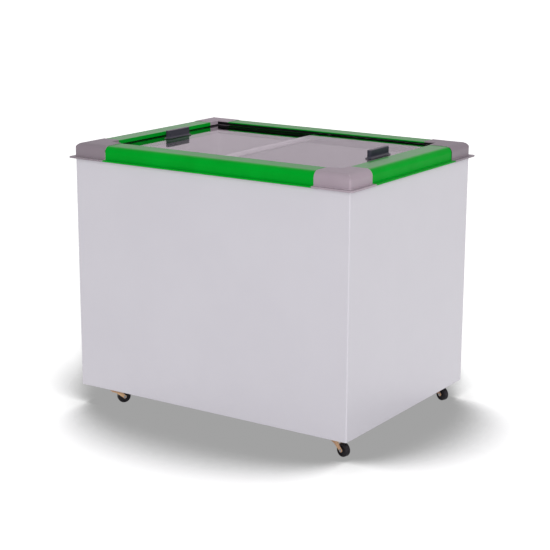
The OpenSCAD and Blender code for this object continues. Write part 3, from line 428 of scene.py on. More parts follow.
@dataclass(frozen=True)
class TubEnamel(Finish):
    """Satin coat of the tub, through which the evaporator's turns print faintly."""

    turn_pitch: float = 0.065
    turn_height: float = 0.00035

    def relief(self, graph: Surface) -> Link:
        """Adds the faint bands that the evaporator's turns press into the walls.

        Args:
            graph: The material's graph.

        Returns:
            The height's socket.
        """
        level = graph.split(graph.place())["Z"]
        wave = graph.math("SINE", graph.product(level, TURN / self.turn_pitch))
        band = graph.remap(wave, 0.6, 1.0, 0.0, self.turn_height)
        return graph.math("ADD", band, super().relief(graph))


@dataclass(frozen=True)
class SpangledZinc(Finish):
    """Galvanised sheet with its large zinc crystals."""

    crystal_scale: float = 75.0
    deep: Colour = (0.33, 0.34, 0.36)

    def paint(self, graph: Surface) -> Link:
        """Tints each crystal a little differently."""
        tone = graph.add("ShaderNodeSeparateColor", {0: graph.cells(self.crystal_scale)["Color"]}).outputs[0]
        return graph.blend(tone, super().paint(graph), self.deep)


@dataclass(frozen=True)
class PassivatedZinc(Finish):
    """Yellow passivated zinc, whose tint drifts from straw to rose."""

    rose: Colour = (0.62, 0.33, 0.24)
    rose_share: float = 0.6
    drift_scale: float = 70.0

    def paint(self, graph: Surface) -> Link:
        """Drifts the tint over the pressed steel."""
        drift = graph.remap(graph.noise(self.drift_scale, graph.place(), 3.0, 0.5), 0.42, 0.66)
        return graph.blend(graph.product(drift, self.rose_share), super().paint(graph), self.rose)


@dataclass(frozen=True)
class TrackedPlastic(Finish):
    """Coloured plastic with a polished upper face, whose tracks' inner faces are painted black as shade, with fine
    dim ribs painted in.
    """

    across: str = "Y"
    inner_face: float = 0.2877
    # Heights and colours of the black painted shade on the tracks' inner faces, with dim painted ribs.
    painted_shade_low: float = 0.7
    painted_shade_top: float = 0.8048
    track_painted_shade: Colour = (0.0012, 0.0012, 0.0012)
    rib_pitch: float = 0.0036
    rib_share: float = 0.3
    shaded_rib_colour: Colour = (0.0, 0.055, 0.005)
    polish: float = 0.0

    @staticmethod
    def within(graph: Surface, axis: str, reach: float, low: float, top: float) -> Link:
        """Finds what lies near the middle, between two heights.

        Args:
            graph: The material's graph.
            axis: Axis along which the distance from the middle counts.
            reach: The greatest distance.
            low: Lower height.
            top: Upper height.

        Returns:
            The socket of a mask that is 1 there.
        """
        place = graph.split(graph.place())
        inside = graph.math("LESS_THAN", graph.math("ABSOLUTE", place[axis]), reach)
        under = graph.math("LESS_THAN", place["Z"], top)
        return graph.product(inside, under, graph.math("GREATER_THAN", place["Z"], low))

    def painted_shade_mask(self, graph: Surface) -> Link:
        """Returns a mask that is 1 where the tracks get painted shade."""
        return self.within(graph, self.across, self.inner_face, self.painted_shade_low, self.painted_shade_top)

    def paint(self, graph: Surface) -> Link:
        """Paints shade onto the tracks' inner faces: black, with the ribs painted dim.

        Args:
            graph: The material's graph.

        Returns:
            The colour's socket.
        """
        level = graph.split(graph.place())["Z"]
        phase = graph.math("FRACT", graph.math("DIVIDE", level, self.rib_pitch))
        rib = graph.math("LESS_THAN", phase, self.rib_share)
        track_painted_shade = graph.blend(rib, self.track_painted_shade, self.shaded_rib_colour)
        return graph.blend(self.painted_shade_mask(graph), super().paint(graph), track_painted_shade)

    def varnish(self, graph: Surface) -> Link | float:
        """Returns the weight of the clear coat, which polishes the upper face."""
        return graph.remap(graph.split(graph.normal())["Z"], 0.80, 0.99, self.coat, self.polish)


@dataclass(frozen=True)
class CornerPlastic(TrackedPlastic):
    """Corner plastic, painted black as shade only on the inward faces that close the ends of the tracks."""

    end_face: float = 0.412
    # Heights of the painted shade on the faces that close the track ends.
    end_painted_shade: tuple[float, float] = (0.7925, 0.7985)
    inward_limit: float = -0.05

    def painted_shade_mask(self, graph: Surface) -> Link:
        """Finds the painted shade on the faces that look inwards.

        Args:
            graph: The material's graph.

        Returns:
            The socket of a mask that is 1 where shade is painted.
        """
        place, facing = graph.split(graph.place()), graph.split(graph.normal())
        masks = []
        for axis, reach, low, top in (("Y", self.inner_face, self.painted_shade_low, self.painted_shade_top),
                                      ("X", self.end_face, *self.end_painted_shade)):
            inwards = graph.math("LESS_THAN", graph.product(place[axis], facing[axis]), self.inward_limit)
            masks.append(graph.product(inwards, self.within(graph, axis, reach, low, top)))
        return graph.math("MAXIMUM", *masks)


@dataclass(frozen=True)
class PileStrip(Finish):
    """Black pile seal: upright tufts packed side by side."""

    tuft_pitch: float = 0.0011
    tuft_height: float = 0.00025
    wobble: float = 0.0006
    wobble_scale: float = 600.0

    def relief(self, graph: Surface) -> Link:
        """Makes the upright tufts.

        Args:
            graph: The material's graph.

        Returns:
            The height's socket.
        """
        place = graph.split(graph.place())
        run = graph.math("ADD", place["X"], place["Y"])
        uneven = graph.product(graph.noise(self.wobble_scale, graph.place(), 1.0), self.wobble)
        phase = graph.product(graph.math("ADD", run, uneven), TURN / self.tuft_pitch)
        return graph.product(graph.math("SINE", phase), self.tuft_height)


@dataclass(frozen=True)
class CellFoam(Finish):
    """Rigid foam with small cells."""

    cell_scale: float = 700.0
    cell_height: float = 0.0004

    def relief(self, graph: Surface) -> Link:
        """Makes the cells."""
        return graph.product(graph.cells(self.cell_scale)["Distance"], self.cell_height)


@dataclass(frozen=True)
class ClearGlass:
    """Clear toughened glass with ground edges and faint smears, through which the lamps shine."""

    name: str
    tint: Colour = (0.97, 0.98, 0.975)
    edge_tint: Colour = (0.66, 0.80, 0.75)
    edge_roughness: float = 0.45
    smear: float = 0.035
    smear_scale: float = 4.0
    index: float = 1.5
    lamp_share: Colour = (0.56, 0.56, 0.565)

    def build(self, effects: Effects) -> bpy.types.Material:
        """Builds the material.

        Args:
            effects: The shared effects.

        Returns:
            The new material.
        """
        graph = Surface(self.name, effects)
        marks = graph.group(effects.handling, {"Scale": self.smear_scale})["Marks"]
        upward = graph.math("ABSOLUTE", graph.split(graph.normal())["Z"])
        ground_edge = graph.remap(upward, 0.6, 0.4)
        smeared = graph.remap(marks, 0.0, 1.0, 0.0, self.smear)
        shader = graph.shader("ShaderNodeBsdfPrincipled", {
            "Base Color": graph.blend(ground_edge, self.tint, self.edge_tint),
            "Roughness": graph.math("ADD", smeared, graph.product(ground_edge, self.edge_roughness)),
            "Transmission Weight": 1.0,
            "IOR": self.index,
        })
        clear = graph.shader("ShaderNodeBsdfTransparent", {"Color": (*self.lamp_share, 1.0)})
        path = graph.add("ShaderNodeLightPath").outputs
        light = graph.math("MAXIMUM", path[Ray.SHADOW.value], path[Ray.DIFFUSE.value])
        graph.material.diffuse_color = (*self.tint, 0.35)
        return graph.close(graph.mix(light, shader, clear))


# The front and rear rails get black painted shade with dim painted ribs below their tracks.
RAIL = TrackedPlastic(
    "green_rail_along_x", (0.0, 0.405, 0.026), (0.0, 0.345, 0.020), 0.30, swing=0.08, specular=0.03, polish=0.42,
    lines=Direction.ALONG_X, line_share=0.5, line_height=0.00002, grain_height=0.000006, edge_radius=0.0007,
)
# Its light edge colour paints a highlight along the corners' edges.
# The corners' inward faces get near-black painted shade, with faint painted ribs.
CORNER = CornerPlastic(
    "mauve_corner", (0.420, 0.345, 0.398), (0.390, 0.318, 0.370), 0.34, grain_scale=1500.0,
    grain_height=0.00003, edge_radius=0.0009, specular=0.2, wear_and_highlight=0.8, wear_and_highlight_colour=(0.78, 0.70, 0.75),
    track_painted_shade=(0.006, 0.005, 0.006), painted_shade_low=0.0, painted_shade_top=0.807, shaded_rib_colour=(0.012, 0.011, 0.012), polish=0.05,
)

FINISHES: tuple[Finish | ClearGlass, ...] = (
    Finish("powder_coat", (0.640, 0.618, 0.672), (0.622, 0.600, 0.655), 0.30, coat=0.15, mottle_scale=3.0,
           grain_scale=420.0, grain_height=0.00003, edge_radius=0.0012),
    RAIL,
    # The side rails get black painted shade only in a thin band in their slot.
    replace(RAIL, name="green_rail_along_y", polish=0.6, lines=Direction.ALONG_Y, across="X",
            inner_face=0.4075, painted_shade_low=0.7935, painted_shade_top=0.7975, rib_share=0.0),
    CORNER,
    # A darker copy of mauve_corner, painted as shade, for the front-left and rear-right corners.
    replace(CORNER, name="mauve_corner_painted_shade", colour=(0.275, 0.230, 0.264), shade=(0.254, 0.212, 0.244),
            wear_and_highlight_colour=(0.66, 0.58, 0.63)),
    Finish("slate_handle", (0.044, 0.044, 0.060), (0.037, 0.037, 0.052), 0.20, specular=0.25, coat=0.08,
           grain_height=0.000005, edge_radius=0.0008, wear_and_highlight=0.4, wear_and_highlight_colour=(0.16, 0.16, 0.19)),
    TubEnamel("tub_enamel", (0.70, 0.65, 0.69), (0.67, 0.62, 0.66), 0.32, mottle_scale=4.0,
              grain_scale=500.0, edge_radius=0.001),
    PileStrip("black_pile", (0.008, 0.008, 0.009), (0.004, 0.004, 0.004), 0.85, edge_radius=0.0002),
    Finish("adhesive_tape", (0.02, 0.02, 0.022), (0.03, 0.03, 0.03), 0.7, grain_scale=2500.0,
           grain_height=0.00008),
    PassivatedZinc("yellow_zinc", (0.80, 0.52, 0.30), (0.66, 0.41, 0.22), 0.36, metallic=0.35,
                   mottle_scale=45.0, grain_scale=1600.0, edge_radius=0.0004, wear_and_highlight=0.5,
                   wear_and_highlight_colour=(0.62, 0.60, 0.56), dust=0.1),
    Finish("bright_zinc", (0.58, 0.58, 0.60), (0.45, 0.45, 0.47), 0.28, metallic=0.95, mottle_scale=60.0,
           lines=Direction.ALONG_Z, line_share=0.2, grain_height=0.00001, edge_radius=0.0003),
    Finish("wheel_plastic", (0.008, 0.006, 0.009), (0.012, 0.010, 0.013), 0.36, swing=0.2, specular=0.3,
           mottle_scale=60.0, grain_scale=1200.0, grain_height=0.00003, wear_and_highlight=0.15,
           wear_and_highlight_colour=(0.05, 0.046, 0.05), dust=0.03),
    SpangledZinc("galvanised_sheet", (0.50, 0.51, 0.53), (0.44, 0.45, 0.47), 0.36, metallic=0.6,
                 mottle_scale=90.0, grain_height=0.00001, edge_radius=0.0004),
    Finish("black_plastic", (0.022, 0.022, 0.024), (0.030, 0.030, 0.032), 0.52, grain_scale=1500.0,
           grain_height=0.00006, edge_radius=0.0005, dust=0.1),
    Finish("white_plastic", (0.72, 0.72, 0.69), (0.66, 0.66, 0.62), 0.45),
    Finish("black_rubber", (0.018, 0.018, 0.018), (0.028, 0.027, 0.026), 0.75, grain_scale=700.0,
           grain_height=0.00006, dust=0.2),
    Finish("black_enamel", (0.012, 0.012, 0.014), (0.02, 0.02, 0.022), 0.3, coat=0.3, grain_scale=300.0,
           grain_height=0.00006, edge_radius=0.001, dust=0.25),
    Finish("drawn_copper", (0.62, 0.29, 0.17), (0.46, 0.19, 0.10), 0.3, metallic=1.0, mottle_scale=30.0,
           grain_height=0.00001, edge_radius=0.0003),
    CellFoam("rigid_foam", (0.84, 0.70, 0.36), (0.76, 0.60, 0.28), 0.9),
    Finish("scale_paint", (0.75, 0.75, 0.73), (0.68, 0.68, 0.66), 0.5, edge_radius=0.0001),
    ClearGlass("lid_glass"),
)

NODE_FINISH: dict[str, tuple[str, ...]] = {
    "powder_coat": ("cabinet_wrapper",),
    "green_rail_along_x": ("front_rail", "rear_rail"),
    "green_rail_along_y": ("left_rail", "right_rail"),
    "mauve_corner": ("front_right_corner", "rear_left_corner"),
    "mauve_corner_painted_shade": ("front_left_corner", "rear_right_corner"),
    "slate_handle": ("left_handle", "right_handle"),
    "tub_enamel": ("inner_tub",),
    "black_pile": ("upper_track_seals", "lower_track_seals"),
    "adhesive_tape": ("left_handle_pad", "right_handle_pad"),
    "yellow_zinc": tuple(f"{corner}_{part}" for corner in CORNERS for part in ("plate", "fork")),
    "bright_zinc": ("compressor_bolts", "caster_bolts", "grille_screws", "rear_panel_screws",
                    *(f"{corner}_axle" for corner in CORNERS)),
    "wheel_plastic": tuple(f"{corner}_wheel" for corner in CORNERS),
    "galvanised_sheet": ("rear_panel", "base_pan", "compressor_bay"),
    "black_plastic": ("side_grille", "start_relay_box", "thermostat_knob", "drain_cap"),
    "white_plastic": ("thermostat_body", "drain_tube"),
    "black_rubber": ("compressor_mounts", "drain_plug", "cable_inlet"),
    "black_enamel": ("compressor_shell", "compressor_feet"),
    "drawn_copper": ("evaporator_coil", "condenser_coil", "filter_dryer", "suction_tube", "discharge_tube"),
    "rigid_foam": ("insulation_foam",),
    "lid_glass": ("left_glass", "right_glass"),
}


class Wardrobe:
    """Builds the finishes and dresses pieces with them."""

    def __init__(self) -> None:
        """Builds every finish."""
        effects = Effects()
        self.materials = {finish.name: finish.build(effects) for finish in FINISHES}

    def dress(self, piece: Piece, finish: str) -> None:
        """Gives a piece the finish of that name all over."""
        piece.data.materials.clear()
        piece.data.materials.append(self.materials[finish])

    def dress_frame(self, nodes: dict[str, Piece]) -> None:
        """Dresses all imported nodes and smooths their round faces.

        Args:
            nodes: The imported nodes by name.
        """
        for finish, names in NODE_FINISH.items():
            for name in names:
                self.dress(nodes[name], finish)
                smooth(nodes[name].data)
            log.info("%s: %s", finish, ", ".join(names))
        plain = set(nodes) - {name for names in NODE_FINISH.values() for name in names}
        if plain:
            raise ValueError(f"no finish for {sorted(plain)}")


# ---------- mesh helpers ----------


def smooth(mesh: bpy.types.Mesh, angle: float = 32.0) -> None:
    """Shades round faces smoothly, and keeps edges of more than an angle in degrees sharp."""
    mesh.polygons.foreach_set("use_smooth", [True] * len(mesh.polygons))
    mesh.set_sharp_from_angle(angle=math.radians(angle))


def put(name: str, data: bpy.types.ID, place: Matrix | None = None) -> Piece:
    """Adds an object to the scene.

    Args:
        name: The object's name.
        data: Its mesh, lamp or camera.
        place: Where it goes, or None for the origin.

    Returns:
        The new object.
    """
    piece = bpy.data.objects.new(name, data)
    if place is not None:
        piece.matrix_world = place
    bpy.context.scene.collection.objects.link(piece)
    return piece


def to_object(name: str, work: Work) -> Piece:
    """Turns a finished bmesh into an object in the scene.

    Args:
        name: Name of the object.
        work: The bmesh, which is freed.

    Returns:
        The new object.
    """
    bmesh.ops.recalc_face_normals(work, faces=work.faces)
    mesh = bpy.data.meshes.new(name)
    work.to_mesh(mesh)
    work.free()
    smooth(mesh)
    return put(name, mesh)


def angles(steps: int) -> list[float]:
    """Divides a full turn into equal steps, in radians."""
    return [TURN * step / steps for step in range(steps)]


def loft(work: Work, rings: list[list[bmesh.types.BMVert]], closed: bool = False) -> None:
    """Joins rings of points with faces; a ring of one point is a tip.

    Args:
        work: The bmesh to add to.
        rings: The rings' points, all in the same sense.
        closed: Whether the last ring joins the first one.
    """
    steps = max(len(ring) for ring in rings)
    for low, high in zip(rings, rings[1:] + (rings[:1] if closed else [])):
        for step in range(steps):
            after = (step + 1) % steps
            corners = (low[step % len(low)], low[after % len(low)], high[after % len(high)], high[step % len(high)])
            distinct = list(dict.fromkeys(corners))
            if len(distinct) > 2:
                work.faces.new(distinct)


def lathe(work: Work, profile: Sequence[tuple[float, float]], place: Matrix, steps: int = 48,
          ripple: Callable[[float, int], float] | None = None) -> None:
    """Turns a profile about the local Z axis.

    Args:
        work: The bmesh to add to.
        profile: Radius and height of each point, from the bottom's middle to the top's middle.
        place: Where the turned piece goes.
        steps: Number of steps round.
        ripple: Change of radius for an angle and a profile point, or None.
    """
    rings = []
    for index, (radius, height) in enumerate(profile):
        if radius < 1e-7:
            rings.append([work.verts.new(place @ Vector((0.0, 0.0, height)))])
            continue
        ring = []
        for angle in angles(steps):
            reach = radius + (ripple(angle, index) if ripple else 0.0)
            ring.append(work.verts.new(place @ Vector((reach * math.cos(angle), reach * math.sin(angle), height))))
        rings.append(ring)
    loft(work, rings)


def solid_boxes(mesh: bpy.types.Mesh) -> list[tuple[Vector, Vector]]:
    """Finds the box of each separate solid in a mesh.

    Args:
        mesh: The mesh to look at.

    Returns:
        Lowest and highest corner of each solid.
    """
    work = bmesh.new()
    work.from_mesh(mesh)
    bmesh.ops.remove_doubles(work, verts=work.verts, dist=1e-6)
    work.verts.index_update()
    seen: set[int] = set()
    boxes = []
    for start in work.verts:
        if start.index in seen:
            continue
        seen.add(start.index)
        queue, group = [start], []
        while queue:
            vert = queue.pop()
            group.append(vert.co.copy())
            for edge in vert.link_edges:
                other = edge.other_vert(vert)
                if other.index not in seen:
                    seen.add(other.index)
                    queue.append(other)
        low, high = (Vector(pick(point[axis] for point in group) for axis in range(3)) for pick in (min, max))
        boxes.append((low, high))
    work.free()
    return boxes


# ---------- sub-assemblies ----------


@dataclass
class CrossScrews:
    """Pan-head screws with a cross recess, in place of plain heads."""

    head_r: float = 0.004
    head_h: float = 0.002
    shank_r: float = 0.002
    shank_h: float = 0.0075
    slot_r: float = 0.0023
    slot_w: float = 0.0008
    rim_points: tuple[int, int] = (5, 6)
    first_turn: float = 0.7
    next_turn: float = 1.1
    steps: int = 40

    def head(self, work: Work, place: Matrix, turn: float) -> None:
        """Builds one screw whose head looks along the local Z axis.

        Args:
            work: The bmesh to add to.
            place: Where the screw goes.
            turn: Angle at which the cross stopped, in radians.
        """
        def cross(angle: float, index: int) -> float:
            """Pulls the recess's rim into a cross.

            Args:
                angle: Angle of the point, in radians.
                index: Number of the profile's point.

            Returns:
                The change of radius.
            """
            if index not in self.rim_points:
                return 0.0
            local = (angle - turn) % (math.pi / 2.0)
            local = min(local, math.pi / 2.0 - local)
            reach = min(self.slot_r, self.slot_w * 0.55 / max(math.sin(local), 0.2))
            return reach - self.slot_r

        profile = (
            (0.0, -self.shank_h), (self.shank_r * 0.9, -self.shank_h), (self.shank_r * 0.95, 0.0),
            (self.head_r, 0.0), (self.head_r * 0.93, self.head_h * 0.6), (self.slot_r, self.head_h * 0.98),
            (self.slot_r, self.head_h * 0.35), (0.0, self.head_h * 0.2),
        )
        lathe(work, profile, place, self.steps, cross)

    def build(self, node: str, outward: Vector, wardrobe: Wardrobe) -> Piece:
        """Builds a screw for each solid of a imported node.

        Args:
            node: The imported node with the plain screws.
            outward: Direction in which the heads look.
            wardrobe: The finishes.

        Returns:
            The new piece.
        """
        work = bmesh.new()
        tilt = outward.to_track_quat("Z", "Y").to_matrix().to_4x4()
        seats = solid_boxes(frame["nodes"][node].data)
        for index, (low, high) in enumerate(seats):
            middle = (low + high) / 2.0
            face = max(outward.dot(low), outward.dot(high)) - self.head_h
            seat = middle + outward * (face - outward.dot(middle))
            self.head(work, Matrix.Translation(seat) @ tilt, self.first_turn + self.next_turn * index)
        piece = to_object(f"{node}_cross", work)
        wardrobe.dress(piece, "bright_zinc")
        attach(piece, "cabinet")
        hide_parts(node)
        log.info("%s: %d screws", piece.name, len(seats))
        return piece


@dataclass
class VentHoods:
    """Pressed hoods over the vents of the rear panel, beside the cable's inlet."""

    count: int = 7
    width: float = 0.158
    pitch: float = 0.014
    drop: float = 0.0095
    depth: float = 0.0042
    sheet: float = 0.0008
    beside_inlet: float = 0.014
    above_foot: float = 0.086
    end_slope: float = 4.2
    end_rise: float = 0.02
    end_power: float = 0.55
    end_drop: float = 0.35
    bulge_power: float = 0.8
    steps: int = 28
    rows: int = 6

    def build(self, wardrobe: Wardrobe) -> Piece:
        """Builds all hoods as one piece.

        Args:
            wardrobe: The finishes.

        Returns:
            The new piece.
        """
        panel_low, panel_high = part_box("rear_panel")
        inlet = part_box("cable_inlet")
        left = (inlet[0].x + inlet[1].x) / 2.0 + self.beside_inlet
        first = Vector((left, panel_high.y, panel_low.z + self.above_foot))
        work = bmesh.new()
        for index in range(self.count):
            self._hood(work, first + Vector((0.0, 0.0, index * self.pitch)))
        piece = to_object("rear_vent_hoods", work)
        wardrobe.dress(piece, "galvanised_sheet")
        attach(piece, "cabinet")
        log.info("rear_vent_hoods: %d hoods", self.count)
        return piece

    def _hood(self, work: Work, corner: Vector) -> None:
        """Builds one hood as a thin bulged shell that is open below.

        Args:
            work: The bmesh to add to.
            corner: Left end of the vent's upper edge, on the panel's face.
        """
        inner, outer = (self._layer(work, corner, lift) for lift in (0.0, self.sheet))
        for layer in (inner, outer):
            for upper, lower in zip(layer, layer[1:]):
                for step in range(self.steps):
                    work.faces.new((upper[step], upper[step + 1], lower[step + 1], lower[step]))
        rim = [(0, step) for step in range(self.steps + 1)]
        rim += [(row, self.steps) for row in range(1, self.rows + 1)]
        rim += [(self.rows, step) for step in range(self.steps - 1, -1, -1)]
        rim += [(row, 0) for row in range(self.rows - 1, 0, -1)]
        for (row, step), (next_row, next_step) in zip(rim, rim[1:] + rim[:1]):
            work.faces.new((inner[row][step], inner[next_row][next_step],
                            outer[next_row][next_step], outer[row][step]))

    def _layer(self, work: Work, corner: Vector, lift: float) -> list[list[bmesh.types.BMVert]]:
        """Places the points of one side of the sheet.

        Args:
            work: The bmesh to add to.
            corner: Left end of the vent's upper edge.
            lift: Distance of this side from the inner one.

        Returns:
            The rows of points, from the upper one down.
        """
        layer = []
        for row in range(self.rows + 1):
            share = row / self.rows
            line = []
            for step in range(self.steps + 1):
                along = step / self.steps
                rise = min(1.0, self.end_slope * min(along, 1.0 - along) + self.end_rise) ** self.end_power
                bulge = (self.depth - self.sheet) * math.sin(share * math.pi / 2.0) ** self.bulge_power
                down = self.drop * share * (self.end_drop + (1.0 - self.end_drop) * rise)
                line.append(work.verts.new(corner + Vector((along * self.width, bulge * rise + lift, -down))))
            layer.append(line)
        return layer


@dataclass
class ThermostatDial:
    """Fluted thermostat dial with a pointer, and the scale of ticks round it."""

    flutes: int = 28
    flute_depth: float = 0.0005
    flute_points: tuple[int, int, int] = (2, 3, 4)
    steps: int = 168
    skirt_share: float = 0.42
    grip_share: float = 0.9
    grip_gap: float = 0.0002
    grip_steps: int = 32
    shank_r: float = 0.003
    shank_h: float = 0.014
    shank_steps: int = 24
    pointer_span: tuple[float, float] = (0.42, 0.86)
    bar_width: float = 0.0011
    bar_height: float = 0.0004
    ticks: int = 7
    sweep: float = 270.0
    rest: float = 180.0
    tick_gap: float = 0.0025
    tick_length: float = 0.0022
    tick_growth: float = 0.0005

    def build(self, wardrobe: Wardrobe) -> None:
        """Builds the dial and its scale.

        Args:
            wardrobe: The finishes.
        """
        low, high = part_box("thermostat_knob")
        radius = (high.y - low.y) / 2.0
        middle = (low + high) / 2.0
        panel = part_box("side_grille")[0].x
        tall = panel - low.x
        face = Vector((panel, middle.y, middle.z))
        place = Matrix.Translation(face) @ Matrix.Rotation(-math.pi / 2.0, 4, "Y")
        dial = self._dial(place, radius, tall)
        wardrobe.dress(dial, "black_plastic")
        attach(dial, "thermostat_dial")
        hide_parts("thermostat_knob")
        work = bmesh.new()
        start, end = (radius * share for share in self.pointer_span)
        self._bar(work, place, (start, end), tall - self.bar_height, self.rest)
        pointer = to_object("thermostat_pointer", work)
        wardrobe.dress(pointer, "scale_paint")
        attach(pointer, "thermostat_dial")
        self._scale(place, radius, wardrobe)
        log.info("thermostat_dial: %d flutes, %d ticks", self.flutes, self.ticks)

    def _dial(self, place: Matrix, radius: float, tall: float) -> Piece:
        """Builds the turned dial with its flutes, raised grip and shank.

        Args:
            place: Where the dial's back goes; its axis is the local Z axis.
            radius: Largest radius.
            tall: Height over the panel.

        Returns:
            The dial.
        """
        def flute(angle: float, index: int) -> float:
            """Waves the dial's side."""
            wave = 0.5 + 0.5 * math.cos(self.flutes * angle)
            return -self.flute_depth * wave if index in self.flute_points else 0.0

        skirt = tall * self.skirt_share
        profile = (
            (0.0, 0.0003), (radius * 0.96, 0.0003), (radius, 0.0010), (radius * 0.985, skirt - 0.0010),
            (radius * 0.955, skirt - 0.0003), (radius * 0.90, skirt), (radius * 0.5, skirt - 0.0004),
            (0.0, skirt - 0.0004),
        )
        shank = ((0.0, -self.shank_h), (self.shank_r, -self.shank_h), (self.shank_r, 0.0004), (0.0, 0.0004))
        work = bmesh.new()
        lathe(work, profile, place, self.steps, flute)
        self._grip(work, place, radius * self.grip_share, skirt - 0.0006, tall - self.grip_gap)
        lathe(work, shank, place, self.shank_steps)
        return to_object("thermostat_dial_fluted", work)

    def _grip(self, work: Work, place: Matrix, reach: float, foot: float, top: float) -> None:
        """Builds the tapered grip across the dial.

        Args:
            work: The bmesh to add to.
            place: Where the dial's back goes.
            reach: Half the grip's length at its foot.
            foot: Height of its foot.
            top: Height of its top.
        """
        rings = []
        for level, width, length in ((foot, 0.0042, reach), (foot + 0.002, 0.0030, reach * 0.97),
                                     (top - 0.0015, 0.0022, reach * 0.93), (top - 0.0004, 0.0018, reach * 0.91),
                                     (top, 0.0012, reach * 0.87)):
            ring = []
            for angle in angles(self.grip_steps):
                x = length * math.copysign(abs(math.cos(angle)) ** 0.35, math.cos(angle))
                y = width * math.copysign(abs(math.sin(angle)) ** 0.6, math.sin(angle))
                ring.append(work.verts.new(place @ Vector((x, y, level))))
            rings.append(ring)
        loft(work, rings)
        work.faces.new(rings[-1])
        work.faces.new(rings[0])

    def _bar(self, work: Work, place: Matrix, ends: tuple[float, float], level: float, angle: float) -> None:
        """Adds a small raised bar that lies along a radius.

        Args:
            work: The bmesh to add to.
            place: Where the dial's back goes.
            ends: Distances of its ends from the axis.
            level: Height of its foot.
            angle: Direction of the radius, in degrees.
        """
        turned = place @ Matrix.Rotation(math.radians(angle), 4, "Z")
        rings = []
        for share, inset in ((0.0, 0.0), (0.7, 0.0), (1.0, self.bar_width * 0.18)):
            start, end, half = ends[0] + inset, ends[1] - inset, self.bar_width / 2.0 - inset
            corners = ((start, -half), (end, -half), (end, half), (start, half))
            z = level + self.bar_height * share
            rings.append([work.verts.new(turned @ Vector((x, y, z))) for x, y in corners])
        loft(work, rings)
        work.faces.new(rings[0])
        work.faces.new(rings[-1])

    def _scale(self, place: Matrix, radius: float, wardrobe: Wardrobe) -> None:
        """Builds the ticks round the dial, which grow along the sweep.

        Args:
            place: Where the dial's back goes.
            radius: The dial's radius.
            wardrobe: The finishes.
        """
        work = bmesh.new()
        start = radius + self.tick_gap
        for index in range(self.ticks):
            end = start + self.tick_length + self.tick_growth * index
            angle = self.rest + index * self.sweep / (self.ticks - 1)
            self._bar(work, place, (start, end), -self.bar_height / 2.0, angle)
        piece = to_object("thermostat_scale", work)
        wardrobe.dress(piece, "scale_paint")
        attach(piece, "cabinet")


@dataclass
class DrainStopper:
    """Turned rubber stopper of the tub's drain, with its pull ring."""

    rise: float = 0.011
    flange: float = 0.004
    ring_r: float = 0.0048
    ring_steps: int = 28
    wire_r: float = 0.0011
    wire_steps: int = 10

    def build(self, wardrobe: Wardrobe) -> Piece:
        """Builds the stopper in place of the plain one.

        Args:
            wardrobe: The finishes.

        Returns:
            The new piece.
        """
        low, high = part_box("drain_plug")
        middle = (low + high) / 2.0
        seat = high.z - self.rise
        foot = low.z - seat
        radius = (high.x - low.x) / 2.0
        bore = radius - self.flange
        profile = (
            (0.0, foot), (bore - 0.0025, foot), (bore - 0.0015, foot + 0.002), (bore - 0.0006, -0.001),
            (bore - 0.0003, 0.0), (radius - 0.0004, 0.0), (radius, 0.0006), (radius, 0.0020),
            (radius - 0.0010, 0.0030), (radius - 0.0035, 0.0028), (0.0040, 0.0026), (0.0034, 0.0040),
            (0.0, 0.0044),
        )
        work = bmesh.new()
        lathe(work, profile, Matrix.Translation(Vector((middle.x, middle.y, seat))))
        self._ring(work, Vector((middle.x, middle.y, high.z - self.ring_r - self.wire_r)))
        piece = to_object("drain_stopper", work)
        wardrobe.dress(piece, "black_rubber")
        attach(piece, "cabinet")
        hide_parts("drain_plug")
        log.info("drain_stopper: radius %.1f mm", radius * 1000.0)
        return piece

    def _ring(self, work: Work, centre: Vector) -> None:
        """Builds the upright pull ring.

        Args:
            work: The bmesh to add to.
            centre: Its middle.
        """
        rings = []
        for angle in angles(self.ring_steps):
            out = Vector((math.cos(angle), 0.0, math.sin(angle)))
            ring = []
            for turn in angles(self.wire_steps):
                off = out * (math.cos(turn) * self.wire_r) + Vector((0.0, math.sin(turn) * self.wire_r, 0.0))
                ring.append(work.verts.new(centre + out * self.ring_r + off))
            rings.append(ring)
        loft(work, rings, closed=True)


# ---------- studio ----------


def heading(azimuth: float, elevation: float) -> Vector:
    """Returns the way from the freezer to an azimuth and elevation, both in radians."""
    level = math.cos(elevation)
    return Vector((math.sin(azimuth) * level, -math.cos(azimuth) * level, math.sin(elevation)))


def hang(data: bpy.types.Light, place: Matrix) -> None:
    """Hangs a lamp that neither shiny faces nor glass show."""
    lamp = put(data.name, data, place)
    lamp.visible_glossy = lamp.visible_transmission = False


@dataclass(frozen=True)
class Lamp:
    """A distant lamp: its strength, and its width and place in degrees."""

    name: str
    strength: float
    width: float
    azimuth: float
    elevation: float
    distance: float = 6.0

    def hang(self) -> None:
        """Hangs the lamp."""
        data = bpy.data.lights.new(self.name, "SUN")
        data.energy = self.strength
        data.angle = math.radians(self.width)
        back = heading(math.radians(self.azimuth), math.radians(self.elevation))
        turned = back.to_track_quat("Z", "Y").to_matrix().to_4x4()
        hang(data, Matrix.Translation(back * self.distance) @ turned)


